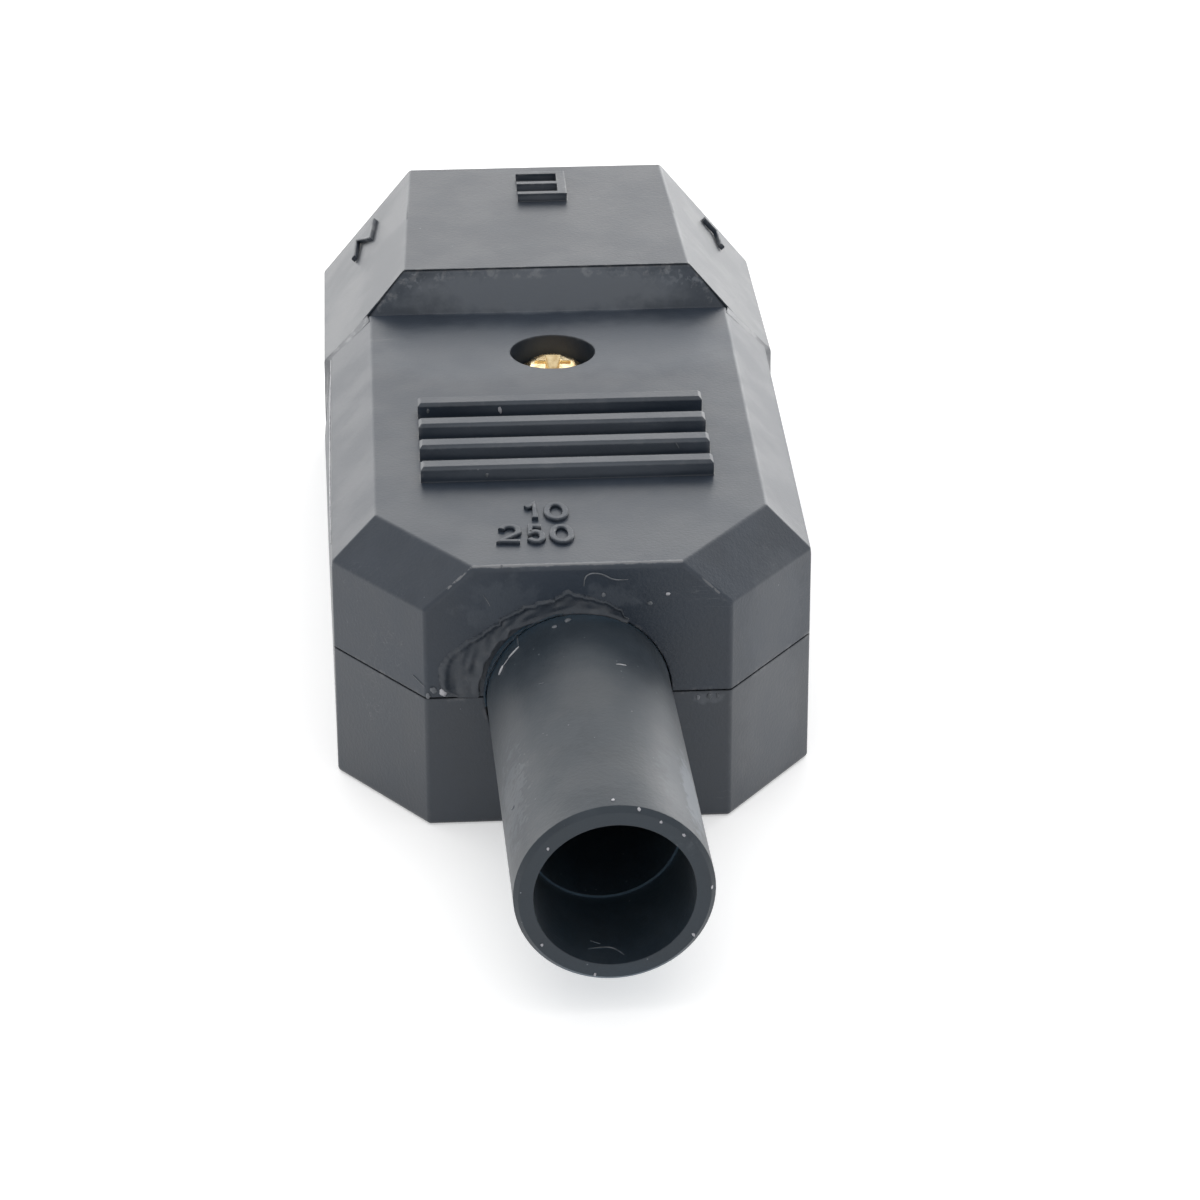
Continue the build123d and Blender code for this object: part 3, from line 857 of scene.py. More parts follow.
@dataclass
class RaisedMarks:
    """The generic pole letters on the block's chamfers and the plain figures on the cover.

    Args:
        groups: The pieces.
        sunk: How deep each one goes into the surface, in millimetres.
        rounding: Width of the slope along its rims, in millimetres.
        longest_mitre: How far a sharp corner may reach out, in half strokes.
    """

    groups: tuple[MarkGroup, ...] = (
        MarkGroup(
            "mark_neutral",
            (Mark(Figure.NEUTRAL, (-12.03, 40.16, 18.78), (-1.52, -0.69, -1.62), (-0.31, -3.31, -0.23)),),
            **LETTER,
        ),
        MarkGroup(
            "mark_live",
            (Mark(Figure.LIVE, (13.56, 39.44, 17.15), (-1.19, 0.44, 1.27), (0.23, -2.82, -0.16)),),
            **LETTER,
        ),
        MarkGroup(
            "figures_current",
            (
                Mark(Figure.ONE, (-3.15, -12.3, 18.4), (1.1, -0.05, 0.0), (0.0, 2.6, 0.0)),
                Mark(Figure.NOUGHT, (-1.84, -12.45, 18.4), (1.64, -0.08, 0.0), (0.0, 2.6, 0.0)),
            ),
            **FIGURE,
        ),
        MarkGroup(
            "figures_voltage",
            (
                Mark(Figure.TWO, (-4.9, -15.6, 18.4), (1.6, -0.09, 0.0), (0.0, 2.65, 0.0)),
                Mark(Figure.FIVE, (-3.1, -15.72, 18.4), (1.3, -0.07, 0.0), (0.0, 2.65, 0.0)),
                Mark(Figure.NOUGHT, (-1.62, -15.82, 18.4), (1.62, -0.09, 0.0), (0.0, 2.65, 0.0)),
            ),
            **FIGURE,
        ),
    )
    sunk: float = 0.2
    rounding: float = 0.07
    longest_mitre: float = 1.7

    def build(self, material: Material) -> None:
        """Raise every mark.

        Args:
            material: Material of the housing.
        """
        for group in self.groups:
            shape = bmesh.new()
            for mark in group.marks:
                self.draw(shape, mark, group)
            mesh = finished(shape, group.name)
            shaded_smooth(mesh)
            add_piece(group.name, mesh, material)

    def draw(self, shape: Shape, mark: Mark, group: MarkGroup) -> None:
        """Draw one mark as a raised stroke with sloping rims.

        Args:
            shape: The shape that it is added to.
            mark: The mark.
            group: The piece that it belongs to.
        """
        along = Vector(mark.along)
        up = Vector(mark.up)
        outward = along.cross(up).normalized()
        half = group.stroke / 2
        wide = along.length - group.stroke
        tall = up.length - group.stroke
        line = [Vector((half + point[0] * wide, half + point[1] * tall)) for point in mark.figure.value]
        closed = mark.figure is Figure.NOUGHT
        shoulder = group.relief - self.rounding
        section = ((-half, -self.sunk), (-half, shoulder), (-half + self.rounding, group.relief))
        section += tuple((-across, lift) for across, lift in reversed(section))
        rings = []
        for index, point in enumerate(line):
            sideways = self.mitre(line, index, closed)
            ring = []
            for across, lift in section:
                flat = point + sideways * across
                place = Vector(mark.foot) + along.normalized() * flat.x + up.normalized() * flat.y
                place += outward * lift
                ring.append(shape.verts.new(place * MM))
            rings.append(ring)
        join_rings(shape, rings, closed)

    def mitre(self, line: list[Vector], index: int, closed: bool) -> Vector:
        """Sideways direction at a point of a line, longer where the line turns.

        Args:
            line: The line's points.
            index: Which point.
            closed: Whether the line's end meets its start.

        Returns:
            The direction, one half stroke long on a straight run.
        """
        count = len(line)
        before = line[(index - 1) % count] if closed or index > 0 else None
        after = line[(index + 1) % count] if closed or index < count - 1 else None
        ways = []
        if before is not None:
            ways.append((line[index] - before).normalized())
        if after is not None:
            ways.append((after - line[index]).normalized())
        sides = [Vector((-way.y, way.x)) for way in ways]
        middle = sum(sides, Vector((0.0, 0.0))).normalized()
        return middle * min(self.longest_mitre, 1 / max(0.1, middle.dot(sides[0])))


@dataclass
class StepSeam:
    """Low slopes where the block stands a little proud of the cover's side, one on each side of the plug.

    Args:
        step: Where the block's rear edge is, in millimetres.
        run: How far the slope reaches over the cover.
        lift: How far it lies above what carries it.
        depth: How deep it goes.
        chamfer_way: Way that the chamfer faces.
        chamfer_foot: Height over which the side is a chamfer.
        edge: Points of the block's rear edge, as half width and height.
        behind: Points of the cover's surface beside them.
    """

    step: float = 22.32
    run: float = 0.95
    lift: float = 0.012
    depth: float = 0.12
    chamfer_way: Pixel = (0.62, 0.78)
    chamfer_foot: float = 15.0
    edge: tuple[Pixel, ...] = (
        (16.0, 10.75), (16.0, 12.4), (16.0, 14.0), (16.0, 14.88),
        (15.9, 15.12), (14.4, 16.73), (12.86, 18.38),
    )
    behind: tuple[Pixel, ...] = (
        (16.0, 10.75), (15.83, 12.4), (15.66, 14.0), (15.55, 15.0),
        (15.46, 15.52), (14.05, 16.96), (12.7, 18.36),
    )

    def build(self, material: Material) -> None:
        """Build both slopes.

        Args:
            material: Material of the housing.
        """
        for name, side in (("left_step_seam", -1), ("right_step_seam", 1)):
            shape = bmesh.new()
            rings = []
            for (wide, high), (near, low) in zip(self.edge, self.behind):
                out = Vector(self.chamfer_way if high > self.chamfer_foot else (1.0, 0.0))
                points = (
                    (wide + out.x * self.lift, self.step, high + out.y * self.lift),
                    (near + out.x * self.lift / 2, self.step - self.run, low + out.y * self.lift / 2),
                    (near - out.x * self.depth, self.step - self.run, low - out.y * self.depth),
                    (wide - out.x * self.depth, self.step, high - out.y * self.depth),
                )
                rings.append([shape.verts.new(Vector((side * x, y, z)) * MM) for x, y, z in points])
            join_rings(shape, rings)
            mesh = finished(shape, name)
            shaded_smooth(mesh, 60.0)
            add_piece(name, mesh, material)


@dataclass
class CoverScrew:
    """Pan-head screw that holds the cover, with a tapered cross recess.

    Args:
        centre: Its axis, in millimetres.
        seat: Height of the head's underside, in millimetres.
        rim: Height where the head's side turns into its sloping shoulder.
        top: Height of the head's flat top.
        tip: Height of the shank's end.
        head_radius: Radius of the head.
        flat_radius: Radius of the flat top.
        flat_rim: Width of the narrow slope round it.
        head_bevel: Width of the slope at the head's underside.
        shank_radius: Radius of the shank.
        tip_chamfer: Width of the slope at the shank's end.
        sides: Points round each ring.
        recess_reach: Half the recess's length at the top.
        recess_half_widths: Half the width of its slots across and along the plug.
        recess_depth: Its depth.
        recess_mouth: Shares of its length and widths just over the head.
        recess_floor: Shares of them at its floor.
        turn: Its turn about the axis, in degrees.
    """

    centre: Pixel = (0.0, 15.057)
    seat: float = 15.8
    rim: float = 16.65
    top: float = 17.6
    tip: float = 1.8
    head_radius: float = 2.7
    flat_radius: float = 1.5
    flat_rim: float = 0.06
    head_bevel: float = 0.08
    shank_radius: float = 1.5
    tip_chamfer: float = 0.3
    sides: int = 96
    recess_reach: float = 1.2
    recess_half_widths: tuple[float, float] = (0.3, 0.46)
    recess_depth: float = 0.95
    recess_mouth: tuple[float, float] = (1.1, 1.15)
    recess_floor: tuple[float, float] = (0.6, 0.45)
    turn: float = -4.0

    def build(self, material: Material) -> None:
        """Build the screw and let it stand for the CAD one.

        Args:
            material: Material of the screw.
        """
        body = self.lathed()
        cutter = self.cross()
        mesh = carved(body, cutter)
        shaded_smooth(mesh, 30.0)
        piece = add_piece("recessed_cover_screw", mesh, material)
        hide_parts("cover_screw")

    def profile(self) -> list[Pixel]:
        """Half section of the screw, as radius and height."""
        shank, head, bevel = self.shank_radius, self.head_radius, self.head_bevel
        points = [(shank - self.tip_chamfer, self.tip), (shank, self.tip + self.tip_chamfer)]
        points += [(shank, self.seat), (head - bevel, self.seat)]
        points += [(head, self.seat + bevel), (head, self.rim)]
        points += [(self.flat_radius + self.flat_rim, self.top - self.flat_rim / 2)]
        return points + [(self.flat_radius, self.top)]

    def lathed(self) -> Mesh:
        """Turn the half section about the screw's axis."""
        shape = bmesh.new()
        rings = []
        for radius, height in self.profile():
            ring = []
            for side in range(self.sides):
                angle = math.tau * side / self.sides
                across = self.centre[0] + radius * math.cos(angle)
                ahead = self.centre[1] + radius * math.sin(angle)
                ring.append(shape.verts.new(Vector((across, ahead, height)) * MM))
            rings.append(ring)
        join_rings(shape, rings)
        return finished(shape, "recessed_cover_screw")

    def cross(self) -> Mesh:
        """Tapered cross that is cut out of the head."""
        shape = bmesh.new()
        floor = self.top - self.recess_depth
        rings = []
        for height, share, narrow in ((self.top + 0.1, *self.recess_mouth), (floor, *self.recess_floor)):
            reach = self.recess_reach * share
            halves = [half * narrow for half in self.recess_half_widths]
            ring = []
            for quarter in range(4):
                half = halves[quarter % 2]
                for across, ahead in ((reach, -half), (reach, half), (halves[1 - quarter % 2], half)):
                    angle = math.radians(self.turn + 90 * quarter)
                    turned = Matrix.Rotation(angle, 2) @ Vector((across, ahead))
                    place = (self.centre[0] + turned.x, self.centre[1] + turned.y, height)
                    ring.append(shape.verts.new(Vector(place) * MM))
            rings.append(ring)
        join_rings(shape, rings)
        return finished(shape, "recess_cutter")


@dataclass
class BootRoot:
    """What moulding and gluing left where the boot meets the rear face: a ragged skin and a smear of glue.

    Args:
        root: Centre of the boot's root on the rear face, in millimetres.
        way: Direction of the boot, from its root to its end.
        radius: Radius of the boot at its root.
        skin_arc: Where the skin starts and ends round the boot, in degrees from the right over the top.
        skin_steps: Points along that arc.
        skin_thickness: Thickness of the skin.
        smear_arc: Where the smear starts and ends.
        smear_steps: Points along that arc.
        smear_rings: Points from the smear's inner to its outer border.
        smear_height: Height of the smear's rim above the rear face.
        smear_gap: Width of the groove that it leaves beside the boot on the left.
        smear_border: Angle and distance from the boot's axis of points on the smear's outer border.
    """

    root: Point = (0.0, -18.843, 9.2)
    way: Point = (0.03776, -0.99865, -0.03567)
    radius: float = 5.88
    skin_arc: tuple[float, float] = (88.0, 186.0)
    skin_steps: int = 150
    skin_thickness: float = 0.09
    smear_arc: tuple[float, float] = (58.0, 180.0)
    smear_steps: int = 240
    smear_rings: int = 34
    smear_height: float = 0.24
    smear_gap: float = 0.5
    smear_border: tuple[Pixel, ...] = (
        (58.0, 6.2), (70.0, 6.8), (82.0, 7.0), (92.0, 7.3), (96.0, 7.6), (103.0, 7.05), (114.0, 7.25),
        (134.0, 7.5), (145.0, 7.8), (153.0, 8.5), (163.0, 9.2), (171.0, 9.1), (176.0, 8.8), (180.0, 7.6),
    )

    def build(self, boot: Material, glue: Material) -> None:
        """Build the skin and the smear.

        Args:
            boot: Material of the boot.
            glue: Material of the smear.
        """
        add_piece("boot_root_skin", self.skin(), boot)
        add_piece("boot_root_smear", self.smear(), glue)

    def rim(self, angle: float, distance: float, ahead: float) -> Vector:
        """Point round the boot.

        Args:
            angle: Angle from the right over the top, in degrees.
            distance: Distance from the boot's axis, in millimetres.
            ahead: Distance along the boot from the rear face, in millimetres.

        Returns:
            The point, in millimetres.
        """
        way = Vector(self.way)
        turn = math.radians(angle)
        return Vector(self.root) + way * ahead + Vector((math.cos(turn), 0.0, math.sin(turn))) * distance

    def skin(self) -> Mesh:
        """Thin ragged skin that stands off the boot along its root."""
        shape = bmesh.new()
        rows = []
        start, end = self.skin_arc
        for step in range(self.skin_steps + 1):
            share = step / self.skin_steps
            angle = start + (end - start) * share
            ragged = noise.noise(Vector((angle * 0.22, 0.0, 3.0)))
            ragged += 0.5 * noise.noise(Vector((angle * 0.8, 1.0, 0.0)))
            swell = 0.35 + 0.6 * math.exp(-(((angle - 155) / 16) ** 2))
            reach = max(0.06, (swell + 0.3 * ragged) * math.sin(math.pi * min(1.0, 0.02 + share)) ** 0.35)
            flare = 0.06 + 0.2 * reach * (1 + 0.6 * noise.noise(Vector((angle * 0.3, 5.0, 0.0))))
            inner = [(0.0, -0.1), (0.02, reach * 0.5), (flare, reach)]
            thickness = self.skin_thickness
            outer = [(flare + thickness * 0.6, reach), (thickness + 0.06, reach * 0.4), (0.22, -0.1)]
            row = []
            for lift, ahead in inner + outer:
                row.append(shape.verts.new(self.rim(angle, self.radius + lift, ahead) * MM))
            rows.append(row)
        join_rings(shape, rows)
        mesh = finished(shape, "boot_root_skin")
        shaded_smooth(mesh, 50.0)
        return mesh

    def border(self, angle: float) -> float:
        """Distance of the smear's outer border from the boot's axis at an angle."""
        for (before, near), (after, far) in zip(self.smear_border, self.smear_border[1:]):
            if angle <= after:
                return near + (far - near) * (angle - before) / (after - before)
        return self.smear_border[-1][1]

    def smear(self) -> Mesh:
        """Flat lumpy smear on the rear face, with a raised ragged rim."""
        shape = bmesh.new()
        rows = []
        start, end = self.smear_arc
        for step in range(self.smear_steps + 1):
            angle = start + (end - start) * step / self.smear_steps
            ragged = 0.22 * noise.noise(Vector((angle * 0.25, 0.0, 7.0)))
            ragged += 0.1 * noise.noise(Vector((angle, 2.0, 0.0)))
            gap = self.smear_gap * min(1.0, max(0.0, (angle - 116) / 16))
            inner = self.radius + 0.02 + gap * (1 + 0.5 * noise.noise(Vector((angle * 0.15, 8.0, 0.0))))
            outer = max(inner + 0.25, self.border(angle) + ragged)
            taper = min(1.0, step / 10, (self.smear_steps - step) / 10)
            row = []
            for ring in range(self.smear_rings + 1):
                share = ring / self.smear_rings
                distance = inner + (outer - inner) * share
                rim = math.exp(-(((share - 0.86) / 0.1) ** 2))
                root = math.exp(-((share / 0.18) ** 2))
                lumps = noise.noise(Vector((angle * 0.12, distance * 1.6, 4.0)))
                strokes = noise.noise(Vector((angle * 0.05, distance * 2.4 + 0.05 * angle, 9.0)))
                height = 0.4 + 0.4 * rim + 0.6 * root + 0.4 * lumps + 0.22 * strokes
                height *= self.smear_height * taper * min(1.0, (1 - share) * 12)
                place = self.rim(angle, distance, 0.0)
                place.y = self.root[1] - max(0.0, height) + 0.02 * share
                row.append(shape.verts.new(place * MM))
            rows.append(row)
        for row, after in zip(rows, rows[1:]):
            for ring in range(self.smear_rings):
                shape.faces.new((row[ring], after[ring], after[ring + 1], row[ring + 1]))
        made = bmesh.ops.extrude_face_region(shape, geom=list(shape.faces))["geom"]
        for part in made:
            if isinstance(part, bmesh.types.BMVert):
                part.co.y = (self.root[1] + 0.1) * MM
        mesh = finished(shape, "boot_root_smear")
        shaded_smooth(mesh, 60.0)
        return mesh


@dataclass(frozen=True)
class Fleck:
    """One crumb or lint speck, seen at a point of the photograph.

    Args:
        pixel: Where it is seen.
        size: Its length and width, in millimetres.
        turn: Its turn on the surface, in degrees.
    """

    pixel: Pixel
    size: tuple[float, float]
    turn: float = 0.0


@dataclass(frozen=True)
class Strand:
    """One fibre, or one pale strand that paints a glint or an edge highlight, seen along points of the
    photograph.

    Args:
        pixels: The points that it passes.
        radius: Its radius, in millimetres.
    """

    pixels: tuple[Pixel, ...]
    radius: float


LOOSE_END = ((604.1, 574.7), (614.8, 580.6), (628.2, 579.4))


@dataclass
class LooseBits:
    """Small things on the plug: crumbs, lint and fibres, and pale strands that paint glints on torn flash
    and a highlight on the cover's side edge.

    Args:
        sight: Finds the surface that each one lies on.
        bright: Bright crumbs.
        dull: Dull crumbs.
        fibres: Fibres and pale flash lines.
        painted_edge_highlight: Pale strand along the cover's side edge, a painted highlight on that rounded
            edge.
        painted_glint: Pale strands along torn edges of the boot's skin that paint their glints.
        flatness: Thickness of a crumb as a share of its width.
        crumb_lift: How far its middle stands off the surface, as a share of its thickness.
        strand_lift: How far a strand's middle stands off the surface, in radii.
        strand_tip: Share of its radius that is left at its ends.
    """

    sight: Sight
    bright: tuple[Fleck, ...] = (
        Fleck((443.5, 692.0), (0.62, 0.46), 10.0),
        Fleck((500.0, 410.0), (0.5, 0.22), 15.0),
        Fleck((613.0, 800.0), (0.26, 0.18)),
        Fleck((639.0, 809.5), (0.22, 0.18)),
        Fleck((661.0, 822.0), (0.2, 0.16)),
        Fleck((684.0, 835.0), (0.24, 0.16), 40.0),
        Fleck((548.0, 849.0), (0.2, 0.16)),
        Fleck((712.0, 887.0), (0.24, 0.18)),
        Fleck((542.0, 945.0), (0.22, 0.16)),
        Fleck((693.5, 934.5), (0.26, 0.16), 30.0),
        Fleck((595.0, 974.5), (0.24, 0.14)),
        Fleck((667.8, 593.7), (0.2, 0.28)),
        Fleck((565.5, 595.0), (0.32, 0.14), 25.0),
    )
    dull: tuple[Fleck, ...] = (
        Fleck((568.0, 620.5), (0.5, 0.34), 30.0),
        Fleck((554.6, 627.0), (0.34, 0.3)),
        Fleck((433.5, 690.0), (0.5, 0.36), 60.0),
        Fleck((428.0, 696.0), (0.4, 0.26)),
        Fleck((650.0, 602.9), (0.24, 0.3)),
        Fleck((603.8, 594.7), (0.3, 0.24)),
        Fleck((513.0, 808.0), (0.3, 0.2)),
        Fleck((428.0, 411.0), (0.32, 0.2)),
        Fleck((487.0, 475.0), (0.3, 0.2)),
        Fleck((698.0, 697.0), (0.34, 0.24)),
        Fleck((709.5, 696.0), (0.4, 0.28)),
        Fleck((717.5, 695.5), (0.36, 0.2)),
        Fleck((501.5, 566.0), (0.3, 0.14)),
    )
    fibres: tuple[Strand, ...] = (
        Strand(((584.0, 586.0), (584.0, 578.0), (589.4, 573.4), (597.0, 573.0), *LOOSE_END), 0.045),
        Strand(((482.9, 594.8), (487.0, 600.0), (490.3, 606.2)), 0.035),
        Strand(((413.0, 675.0), (418.0, 680.0), (425.0, 687.0)), 0.05),
        Strand(((676.0, 443.0), (679.0, 448.0)), 0.06),
        Strand(((590.0, 941.0), (600.0, 944.0)), 0.06),
        Strand(((588.0, 949.0), (602.0, 947.0), (616.0, 948.0), (624.0, 955.0)), 0.05),
        Strand(((539.0, 684.6), (543.8, 683.2)), 0.05),
        Strand(((517.0, 634.5), (517.6, 640.0), (518.6, 645.5)), 0.05),
    )
    # Painted highlight: a pale strand along the rounded edge between the cover's side and its chamfer.
    painted_edge_highlight: tuple[Strand, ...] = (
        Strand(((331.0, 355.0), (330.8, 400.0), (330.6, 450.0), (330.8, 500.0), (331.2, 544.0)), 0.07),
    )
    painted_glint: tuple[Strand, ...] = (
        Strand(((519.2, 647.0), (514.0, 652.5), (509.0, 658.0)), 0.085),
        Strand(((509.0, 658.0), (505.5, 662.5), (503.5, 666.0)), 0.03),
        Strand(((503.5, 666.0), (501.5, 670.5), (499.6, 675.2)), 0.11),
        Strand(((616.2, 664.5), (621.0, 664.6), (626.0, 665.8)), 0.06),
    )
    flatness: float = 0.4
    crumb_lift: float = 0.2
    strand_lift: float = 0.4
    strand_tip: float = 0.45

    def build(self, pale: Material, grey: Material, painted_glint: Material) -> None:
        """Scatter everything where the photograph shows it.

        Args:
            pale: Material of bright crumbs.
            grey: Material of dull crumbs and fibres.
            painted_glint: Material of the pale strands that paint glints and the side edge highlight.
        """
        heaps = (("bright_crumbs", self.bright, pale), ("dull_crumbs", self.dull, grey))
        for name, flecks, finish in heaps:
            add_piece(name, self.crumbs(flecks, name), finish)
        lines = (
            ("fibres", self.fibres, grey, Slot.HOUSING),
            ("painted_glint_edges", self.painted_glint, painted_glint, Slot.BOOT),
            ("side_painted_edge_highlight", self.painted_edge_highlight, painted_glint, Slot.HOUSING),
        )
        for name, strands, finish, slot in lines:
            add_piece(name, self.strands(strands, name), finish)

    def crumbs(self, flecks: tuple[Fleck, ...], name: str) -> Mesh:
        """Shape crumbs as small uneven lumps, each pressed a little into its surface.

        Args:
            flecks: The crumbs.
            name: The mesh's name.

        Returns:
            One mesh of them all.
        """
        dice = random.Random(CRUMB_SEED)
        shape = bmesh.new()
        for fleck in flecks:
            spot = self.sight.spot(fleck.pixel)
            thickness = min(fleck.size) * self.flatness
            turn = spot.normal.to_track_quat("Z", "X").to_matrix().to_4x4()
            turn = turn @ Matrix.Rotation(math.radians(fleck.turn), 4, "Z")
            size = Matrix.Diagonal((fleck.size[0] / 2, fleck.size[1] / 2, thickness / 2, 1.0)) * MM
            size[3][3] = 1.0
            place = spot.place + spot.normal * thickness * self.crumb_lift * MM
            lump = Matrix.Translation(place) @ turn @ size
            made = bmesh.ops.create_icosphere(shape, subdivisions=3, radius=1.0)
            seed = Vector((dice.uniform(0, 50), dice.uniform(0, 50), 0.0))
            for vertex in made["verts"]:
                swell = 1 + 0.35 * noise.noise(vertex.co * 1.3 + seed)
                swell += 0.15 * noise.noise(vertex.co * 3.5 + seed)
                vertex.co = lump @ (vertex.co * swell)
        mesh = finished(shape, name)
        mesh.shade_smooth()
        return mesh

    def strands(self, strands: tuple[Strand, ...], name: str) -> Mesh:
        """Shape strands as thin tubes with pointed ends, half sunk in their surface.

        Args:
            strands: The strands.
            name: The mesh's name.

        Returns:
            One mesh of them all.
        """
        curve = bpy.data.curves.new(name, "CURVE")
        curve.dimensions = "3D"
        curve.bevel_depth = MM
        curve.bevel_resolution = 3
        curve.use_fill_caps = True
        for strand in strands:
            spots = [self.sight.spot(pixel) for pixel in strand.pixels]
            last = len(spots) - 1
            line = curve.splines.new("NURBS")
            line.points.add(last)
            for index, (point, spot) in enumerate(zip(line.points, spots)):
                lift = strand.radius * self.strand_lift * MM
                point.co = (*(spot.place + spot.normal * lift), 1.0)
                point.radius = strand.radius * (self.strand_tip if index in (0, last) else 1.0)
            line.order_u = min(3, len(spots))
            line.use_endpoint_u = True
            line.resolution_u = 8
        holder = bpy.data.objects.new(name + "_line", curve)
        mesh = bpy.data.meshes.new_from_object(holder)
        bpy.data.objects.remove(holder)
        bpy.data.curves.remove(curve)
        mesh.name = name
        mesh.shade_smooth()
        return mesh


@dataclass
class Finishes:
    """Every finish of the plug, built once.

    Args:
        sight: Finds the places of rubs, smudges and patches of painted light and highlight that the
            photograph shows.
    """

    sight: Sight
    cover: Moulding = Moulding("black_cover_plastic", (0.015, 0.023, 0.036), sheen=0.03, grain=0.014)
    base: Moulding = Moulding(
        "black_base_plastic", (0.013, 0.02, 0.031), roughness=0.38, gloss=1.6, grain=0.016
    )
    boot: Moulding = Moulding(
        "soft_boot_rubber",
        (0.014, 0.022, 0.031),
        # Painted light: a pale bluish glow blended into the bore and round the root, as far as occlusion
        # reaches.
        painted_hollow_tone=(0.06, 0.12, 0.18),
        hollow_reach=9.0,
        roughness=0.45,
        gloss=1.46,
        sheen=0.06,
        grain=0.016,
        fine_scale=3.2,
        edge=0.1,
        wear=0.2,
        specks=0.8,
        film=0.05,
    )
    glue: Moulding = Moulding(
        "dried_glue",
        (0.02, 0.027, 0.038),
        roughness=0.42,
        worn_and_highlight=(0.05, 0.055, 0.065),
        # Painted shade, almost black, in the smear's hollows.
        painted_hollow_tone=(0.002, 0.004, 0.007),
        hollow_reach=0.9,
        wear=0.5,
        specks=0.0,
        film=0.0,
    )
    pins: Metal = Metal("plated_brass_pins", (0.74, 0.64, 0.44), (0.66, 0.55, 0.36), 0.3, 0.05)
    terminals: Metal = Metal("turned_brass_terminals", (0.66, 0.52, 0.28), (0.42, 0.31, 0.15), 0.3)
    screw: Metal = Metal("yellow_plated_screw", (1.0, 0.82, 0.5), (0.5, 0.32, 0.13), 0.12)
    steel: Metal = Metal("zinc_plated_steel", (0.56, 0.56, 0.55), (0.36, 0.36, 0.35))
    lint: Crumb = Crumb("pale_crumbs", (0.5, 0.5, 0.53), (0.33, 0.33, 0.36))
    fluff: Crumb = Crumb("grey_fluff", (0.16, 0.17, 0.19), (0.08, 0.09, 0.1))
    # Pale plastic of the strands that paint glints on the torn skin and a highlight on the cover's side
    # edge.
    painted_glint: Crumb = Crumb("painted_glint_plastic", (0.5, 0.5, 0.52), (0.3, 0.31, 0.33), roughness=0.35)
    made: dict[str, Material] = field(default_factory=dict)

    def rubs_and_painted_highlights(self) -> tuple[RubAndPaintedHighlight, ...]:
        """Pale lines along the rear face's edges, where the photograph shows them: partly rubbed wear,
        partly a painted edge highlight.
        """
        edges = (
            ((474.0, 566.6), (681.0, 560.6), 0.19, 0.8, 1.4),
            ((447.5, 588.5), (472.0, 567.5), 0.12, 0.8, 0.5),
            ((681.0, 560.8), (719.0, 592.5), 0.1, 0.6, 0.5),
        )
        lines = []
        for start, end, width, weight, cover in edges:
            ends = (self.sight.spot(pixel).millimetres() for pixel in (start, end))
            lines.append(RubAndPaintedHighlight(*ends, width, weight, cover))
        return tuple(lines)

    def smudges_and_painted_light(self, blotches: tuple[tuple[object, ...], ...]) -> tuple[SmudgeAndPaintedLight, ...]:
        """Place blotches where the photograph shows them: smudges, and patches of painted light.

        Args:
            blotches: Pixel, reach, weight, breakup and raggedness of each one.

        Returns:
            The blotches.
        """
        return tuple(SmudgeAndPaintedLight(self.sight.spot(pixel).millimetres(), *looks) for pixel, *looks in blotches)

    def build(self) -> None:
        """Make every material."""
        cover = self.smudges_and_painted_light(
            (
                ((505.0, 610.0), (3.0, 0.6, 2.4), 0.04, 0.8, 0.6),
                ((610.0, 596.0), (2.2, 0.6, 1.0), 0.06, 0.8, 0.7),
                # Painted light: lifts the step slope as light from above and in front would, with ragged
                # marks along its upper part.
                ((545.0, 290.0), (13.0, 1.3, 3.4), 0.2, 0.8, 0.15),
                ((560.0, 281.0), (11.0, 1.2, 0.8), 0.2, 2.6, 1.0),
                # Painted light: lifts the flat cover top beside the block, darkened by the block's
                # reflection.
                ((478.0, 352.0), (10.5, 6.5, 0.15), 0.12, 0.8, 0.1),
                ((632.0, 345.0), (10.5, 6.5, 0.15), 0.14, 0.8, 0.1),
                # Painted light: lifts the cover's right shoulder.
                ((775.0, 620.0), (4.0, 4.5, 6.0), 0.06, 0.8, 0.2),
                # Painted light: lifts the ribs and their shaded walls.
                ((564.9, 449.0), (14.0, 11.0, 0.62), 0.12, 0.8, 0.06),
            )
        )
        base = self.smudges_and_painted_light(
            (
                ((708.0, 697.0), (1.2, 0.8, 0.5), 0.1, 0.8, 0.6),
                # Painted light: lifts the base's right shoulder.
                ((770.0, 720.0), (4.5, 4.5, 8.0), 0.06, 0.8, 0.2),
            )
        )
        # Painted light: lifts the raised E and its shaded walls.
        base += (SmudgeAndPaintedLight((0.24, 37.62, 21.75), (3.4, 3.6, 0.3), 0.14, 0.8, 0.05),)
        boot = self.smudges_and_painted_light(
            (
                ((513.0, 800.0), (1.0, 5.0, 3.0), 0.12, 1.6, 1.0),
                # Pale patches along the boot's right side: partly dust, partly painted light.
                ((685.0, 790.0), (2.4, 6.0, 3.2), 0.1, 1.6, 0.35),
                ((692.0, 795.0), (0.9, 6.0, 3.0), 0.42, 1.6, 0.35),
                ((590.0, 775.0), (4.0, 2.5, 2.0), 0.03, 0.8, 0.6),
                ((560.0, 730.0), (2.0, 3.0, 2.0), 0.03, 0.8, 0.6),
            )
        )
        finishes = {
            "housing": replace(self.cover, rubs_and_painted_highlights=self.rubs_and_painted_highlights(), smudges_and_painted_light=cover),
            "base": replace(self.base, smudges_and_painted_light=base),
            "boot": replace(self.boot, smudges_and_painted_light=boot),
            "glue": self.glue,
            "pins": self.pins,
            "terminals": self.terminals,
            "yellow_screw": self.screw,
            "steel": self.steel,
            "lint": self.lint,
            "fluff": self.fluff,
            "painted_glint": self.painted_glint,
        }
        for name, finish in finishes.items():
            self.made[name] = finish.material()
            log.info("made material %s", finish.name)

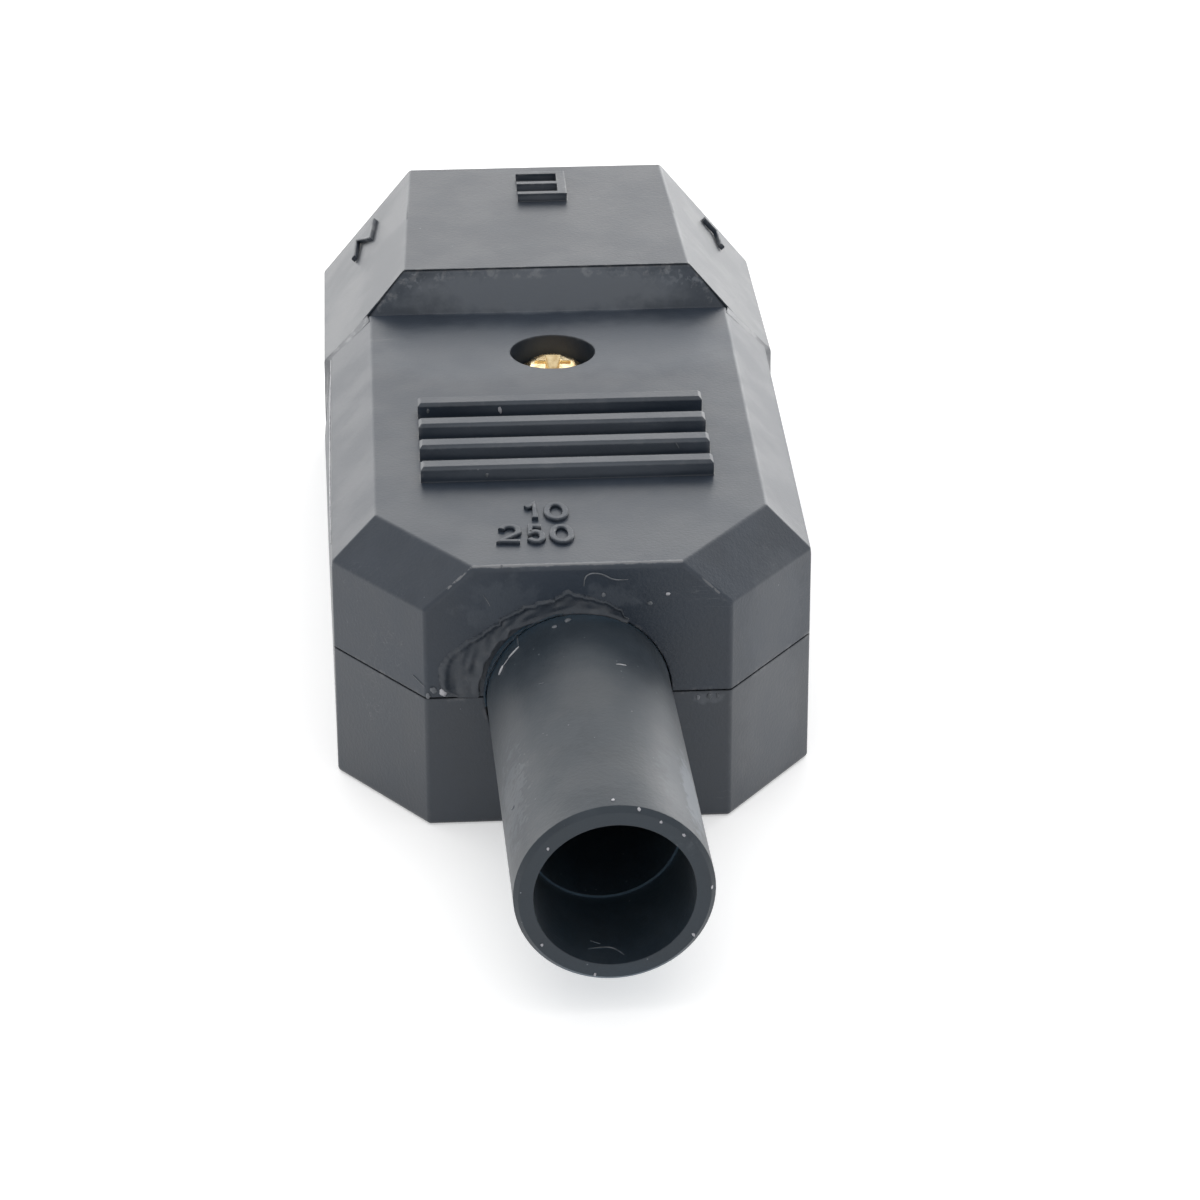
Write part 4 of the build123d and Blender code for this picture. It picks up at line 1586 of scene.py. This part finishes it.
    def dress(self) -> None:
        """Give every CAD node the material of its slot in the record, and the base a glossier one."""
        for part in frame["record"]["subparts"]:
            node = frame["nodes"][part["node"]]
            finish = "base" if part["node"] == "base" else part["material_slot"]
            for slot in node.material_slots:
                slot.material = self.made[finish]
            log.info("dressed %s as %s", part["node"], part["material_slot"])


@dataclass
class Studio:
    """White sweep and soft boxes.

    Args:
        floor_reach: Half the floor's width, in metres.
        floor_drop: How far it lies under the plug, in millimetres.
        floor_colour: Its colour.
        floor_lift: Light that the floor adds where the camera or a reflection sees it.
        sky: Strength of the even light from all round.
        boxes: Name, place, height of what it points at, size and power of each soft box.
    """

    floor_reach: float = 4.0
    floor_drop: float = 0.02
    floor_colour: Colour = (0.86, 0.86, 0.86)
    floor_lift: float = 0.38
    sky: float = 0.85
    boxes: tuple[tuple[str, Point, float, tuple[float, float], float], ...] = (
        ("overhead_box", (0.0, 0.1, 0.9), 0.0, (0.9, 0.9), 1.6),
        ("back_box", (0.05, 1.1, 0.62), 0.02, (1.9, 0.62), 5.0),
        ("low_left_box", (-0.62, 1.0, 0.16), 0.02, (1.1, 0.34), 2.25),
        ("low_right_box", (0.62, 1.0, 0.16), 0.02, (1.1, 0.34), 4.35),
    )

    def build(self) -> None:
        """Build the floor and the light."""
        self.floor()
        self.world()
        for name, place, height, size, power in self.boxes:
            self.soft_box(name, place, (0.0, 0.0, height), size, power)
        log.info("studio built")

    def floor(self) -> None:
        """Lay a white floor that looks white to the camera and to reflections, and keeps its shadow."""
        mesh = bpy.data.meshes.new("floor")
        reach = self.floor_reach
        corners = [(-reach, -reach, 0), (reach, -reach, 0), (reach, reach, 0), (-reach, reach, 0)]
        mesh.from_pydata(corners, [], [(0, 1, 2, 3)])
        floor = bpy.data.objects.new("floor", mesh)
        floor.location.z = -self.floor_drop * MM
        bpy.context.scene.collection.objects.link(floor)
        material, graph, shader = new_material("white_floor")
        graph.fill(shader, {"Base Color": self.floor_colour, "Roughness": 0.9, "Specular IOR Level": 0.0})
        graph.fill(shader, {"Emission Color": WHITE})
        path = graph.add("ShaderNodeLightPath")
        seen = graph.math("MAXIMUM", path.outputs["Is Camera Ray"], path.outputs["Is Glossy Ray"])
        seen = graph.math("MAXIMUM", seen, path.outputs["Is Transmission Ray"])
        graph.feed(shader.inputs["Emission Strength"], graph.math("MULTIPLY", seen, self.floor_lift))
        mesh.materials.append(material)

    def world(self) -> None:
        """Light the object evenly from all round."""
        world = bpy.data.worlds.new("studio")
        bpy.context.scene.world = world
        world.use_nodes = True
        background = world.node_tree.nodes["Background"]
        Graph(world.node_tree).fill(background, {"Color": WHITE, "Strength": self.sky})

    def soft_box(
        self, name: str, place: Point, target: Point, size: tuple[float, float], power: float
    ) -> None:
        """Hang one soft box.

        Args:
            name: Its name.
            place: Where it hangs, in metres.
            target: What it points at, in metres.
            size: Its width and height, in metres.
            power: Its power in watts.
        """
        data = bpy.data.lights.new(name, "AREA")
        data.shape = "RECTANGLE"
        data.size, data.size_y = size
        data.energy = power
        lamp = bpy.data.objects.new(name, data)
        lamp.location = place
        lamp.rotation_euler = (Vector(target) - Vector(place)).to_track_quat("-Z", "Y").to_euler()
        bpy.context.scene.collection.objects.link(lamp)


def main() -> None:
    """Dress the frame, add the pieces and build the studio."""
    logging.basicConfig(level=logging.INFO, format="%(name)s: %(message)s")
    bpy.context.scene.view_settings.view_transform = "Standard"
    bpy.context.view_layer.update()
    camera = PhotoCamera()
    camera.build()
    Studio().build()
    EffectLibrary().build()
    sight = Sight(camera)
    finishes = Finishes(sight)
    finishes.build()
    finishes.dress()
    made = finishes.made
    RaisedMarks().build(made["housing"])
    StepSeam().build(made["base"])
    CoverScrew().build(made["yellow_screw"])
    BootRoot().build(made["boot"], made["glue"])
    LooseBits(sight).build(made["lint"], made["fluff"], made["painted_glint"])


if __name__ == "__main__":
    main()
